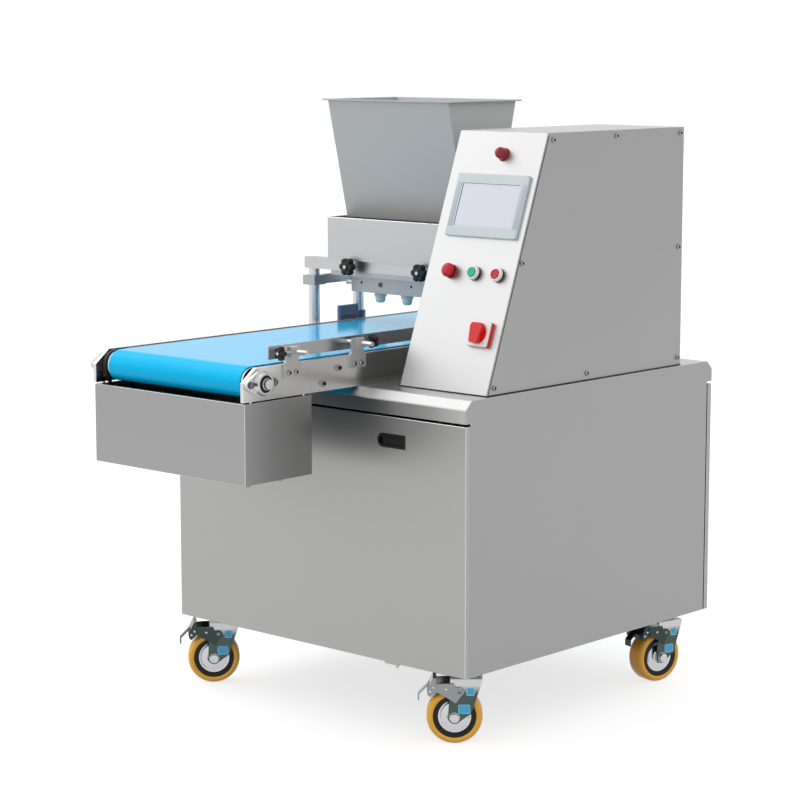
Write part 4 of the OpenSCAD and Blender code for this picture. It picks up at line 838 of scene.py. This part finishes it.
# Where the panel's pieces stand on it; the screen by its corner, the others by their middles
panelPlaces = {"screen": (0.028, 0.3163), "lamp": (0.129, 0.4898), "stop": (0.066, 0.243), "green": (0.1265, 0.243),
               "red": (0.187, 0.243), "switch": (0.1795, 0.121)}


def onPanel(piece, key):
    piece.data.transform(panel @ Matrix.Translation((*panelPlaces[key], 0)))
    return piece


def turned(name, key, *profile, steps=56):
    # a turned piece on the panel, its profile in millimetres
    return onPanel(spun(name, mm(*profile), steps=steps), key)


# Touch screen: frame with a sunk display and a darker strip at each side
screen = {"size": (0.184, 0.131), "thick": 0.006, "side": 0.0165, "band": 0.0195, "sink": 0.0012, "border": 0.0009,
          "slant": 0.0007, "strip": 0.0115, "stripIn": 0.0025, "stripOut": 0.0003}
wide, tall = screen["size"]
thick, band = screen["thick"], screen["band"]


def within(c, reach):
    return reach < c.x < wide - reach and reach < c.y < tall - reach


panelScreen = block("touchScreen", (0, 0, 0), (wide, tall, thick))
pickFaces(panelScreen, lambda c, n: n.z > 0.99)
bpy.ops.mesh.inset(thickness=screen["side"])
bpy.ops.transform.resize(value=(1, (tall - 2 * band) / (tall - 2 * screen["side"]), 1))
bpy.ops.mesh.inset(thickness=screen["border"])
bpy.ops.mesh.inset(thickness=screen["slant"], depth=-screen["sink"])
leave()
roundEdges(panelScreen, 0.004, 5, lambda a, b: abs(a.z - b.z) > 0.003)
roundEdges(panelScreen, 0.0012, 3, lambda a, b: min(a.z, b.z) > thick - 0.0002 and not within((a + b) / 2, 0.0005))
smooth(panelScreen)
dress(panelScreen, "frame", "screen_grey", framePlastic, "touch_screen")
paint(panelScreen, whitePlastic, lambda c, n: n.z > 0.99 and c.z > thick - 0.0001 and within(c, screen["side"]))
# the slanted walls round the sunk display are painted black: a painted shadow line round the display
paint(panelScreen, blackPlastic, lambda c, n: 0.2 < n.z < 0.97 and within(c, screen["side"]))
paint(panelScreen, screenGlass, lambda c, n: n.z > 0.99 and c.z < thick - 0.0009)
onPanel(panelScreen, "screen")
for tag, left in (("Left", screen["stripIn"]), ("Right", wide - screen["stripIn"] - screen["strip"])):
    strip = block("screenStrip" + tag, (left, band, thick - screen["stripOut"]),
                  (left + screen["strip"], tall - band, thick + screen["stripOut"]))
    roundEdges(strip, 0.0002, 2)
    smooth(strip)
    dress(onPanel(strip, "screen"), "frame", "screen_grey", bezelPlastic)

# Lamp, push buttons, emergency stop
lampDome = turned("lampDome", "lamp", (0, 23.9), (3.1, 23.5), (6, 22.3), (8.5, 20.4), (10.4, 17.9), (11.5, 15),
                  (11.9, 12), (11.9, 2), (0, 2))
dress(lampDome, "frame", "lamp_red", lampRed, "indicator_lamp")
lampBezel = turned("lampBezel", "lamp", (11.9, -0.3), (14, -0.3), (14, 1.4), (13.5, 2.1), (12.7, 2.4), (12.1, 2.2),
                   (11.9, 1.6), (11.9, -0.3))
dress(lampBezel, "frame", "lamp_red", redDark)
buttons = {"green": {"finish": greenPlastic, "body": "start_button", "slot": "green_plastic"},
           "red": {"finish": buttonRed, "body": "stop_button", "slot": "red_plastic"}}
for key, button in buttons.items():
    body = button["body"]
    collarPiece = turned(body + "Collar", key, (9.9, 1), (9.9, 5.2), (14.2, 5.2), (14.5, 4.9), (14.5, 0.6), (14.1, 0),
                         (10.6, 0), (9.9, 1))
    dress(collarPiece, "frame", "black_plastic", blackPlastic)
    ring = turned(body + "Ring", key, (9.9, 5), (9.9, 11.3), (10.3, 11.8), (11.4, 12), (13.4, 11.7), (14.3, 11),
                  (14.5, 10.2), (14.5, 5.3), (14.2, 5), (9.9, 5))
    dress(ring, "frame", "white_plastic", whitePlastic)
    cap = turned(body + "Cap", key, (0, 13.4), (4, 13.5), (7.2, 13.9), (8.6, 14.2), (9.3, 13.9), (9.6, 13.2), (9.6, 4),
                 (0, 4))
    dress(cap, body, button["slot"], button["finish"], body)
    if key == "green":
        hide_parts("button_rings")
emergencyRing = turned("emergencyRing", "stop", (10.2, 0), (14.2, 0), (14.5, 0.6), (14.5, 3.6), (13.6, 4.7), (11.2, 5),
                       (10.2, 4.6), (10.2, 0))
dress(emergencyRing, "frame", "white_plastic", redDark)
emergencyHead = turned("emergencyHead", "stop", (0, 22.2), (3.6, 22.1), (7.2, 21.5), (10.4, 20.2), (12.8, 18.2),
                       (14.1, 15.8), (14.5, 13.6), (14.3, 12), (13.4, 11.1), (12, 10.9), (9.6, 10.6), (9.6, 3), (0, 3),
                       steps=64)
dress(emergencyHead, "emergency_stop", "red_plastic", buttonRed, "emergency_stop")

# Main switch: red base, white face, boss and wedge handle
switch = {"size": (0.053, 0.051), "thick": 0.01, "face": 0.0024, "corner": 0.004, "soft": 0.0012}
halfWide, halfTall = switch["size"][0] / 2, switch["size"][1] / 2
faceLow, faceHigh = switch["thick"] - switch["face"], switch["thick"]
base = block("switchBase", (-halfWide, -halfTall, 0), (halfWide, halfTall, faceLow))
roundEdges(base, switch["corner"], 4, lambda a, b: abs(a.z - b.z) > 0.004)
smooth(base)
dress(onPanel(base, "switch"), "frame", "red_plastic", redPlastic)
face = block("switchFace", (-halfWide, -halfTall, faceLow), (halfWide, halfTall, faceHigh))
roundEdges(face, switch["corner"], 4, lambda a, b: abs(a.z - b.z) > 0.002)
roundEdges(face, switch["soft"], 3, lambda a, b: min(a.z, b.z) > faceHigh - 0.0004)
smooth(face)
dress(onPanel(face, "switch"), "frame", "white_plastic", whitePlastic, "main_switch")
switchBoss = turned("switchBoss", "switch", (4.06, 7), (20, 7), (20, 11), (19.4, 11.7), (18.4, 12), (4.06, 12),
                    (4.06, 7))
dress(switchBoss, "frame", "white_plastic", redPlastic)
cover("switch_handle", "switchHandle", "switch_handle", "red_plastic", redPlastic, edges["bar"], 3)
drop(screw, bolt, rivet, stud)
print("tower dressed")
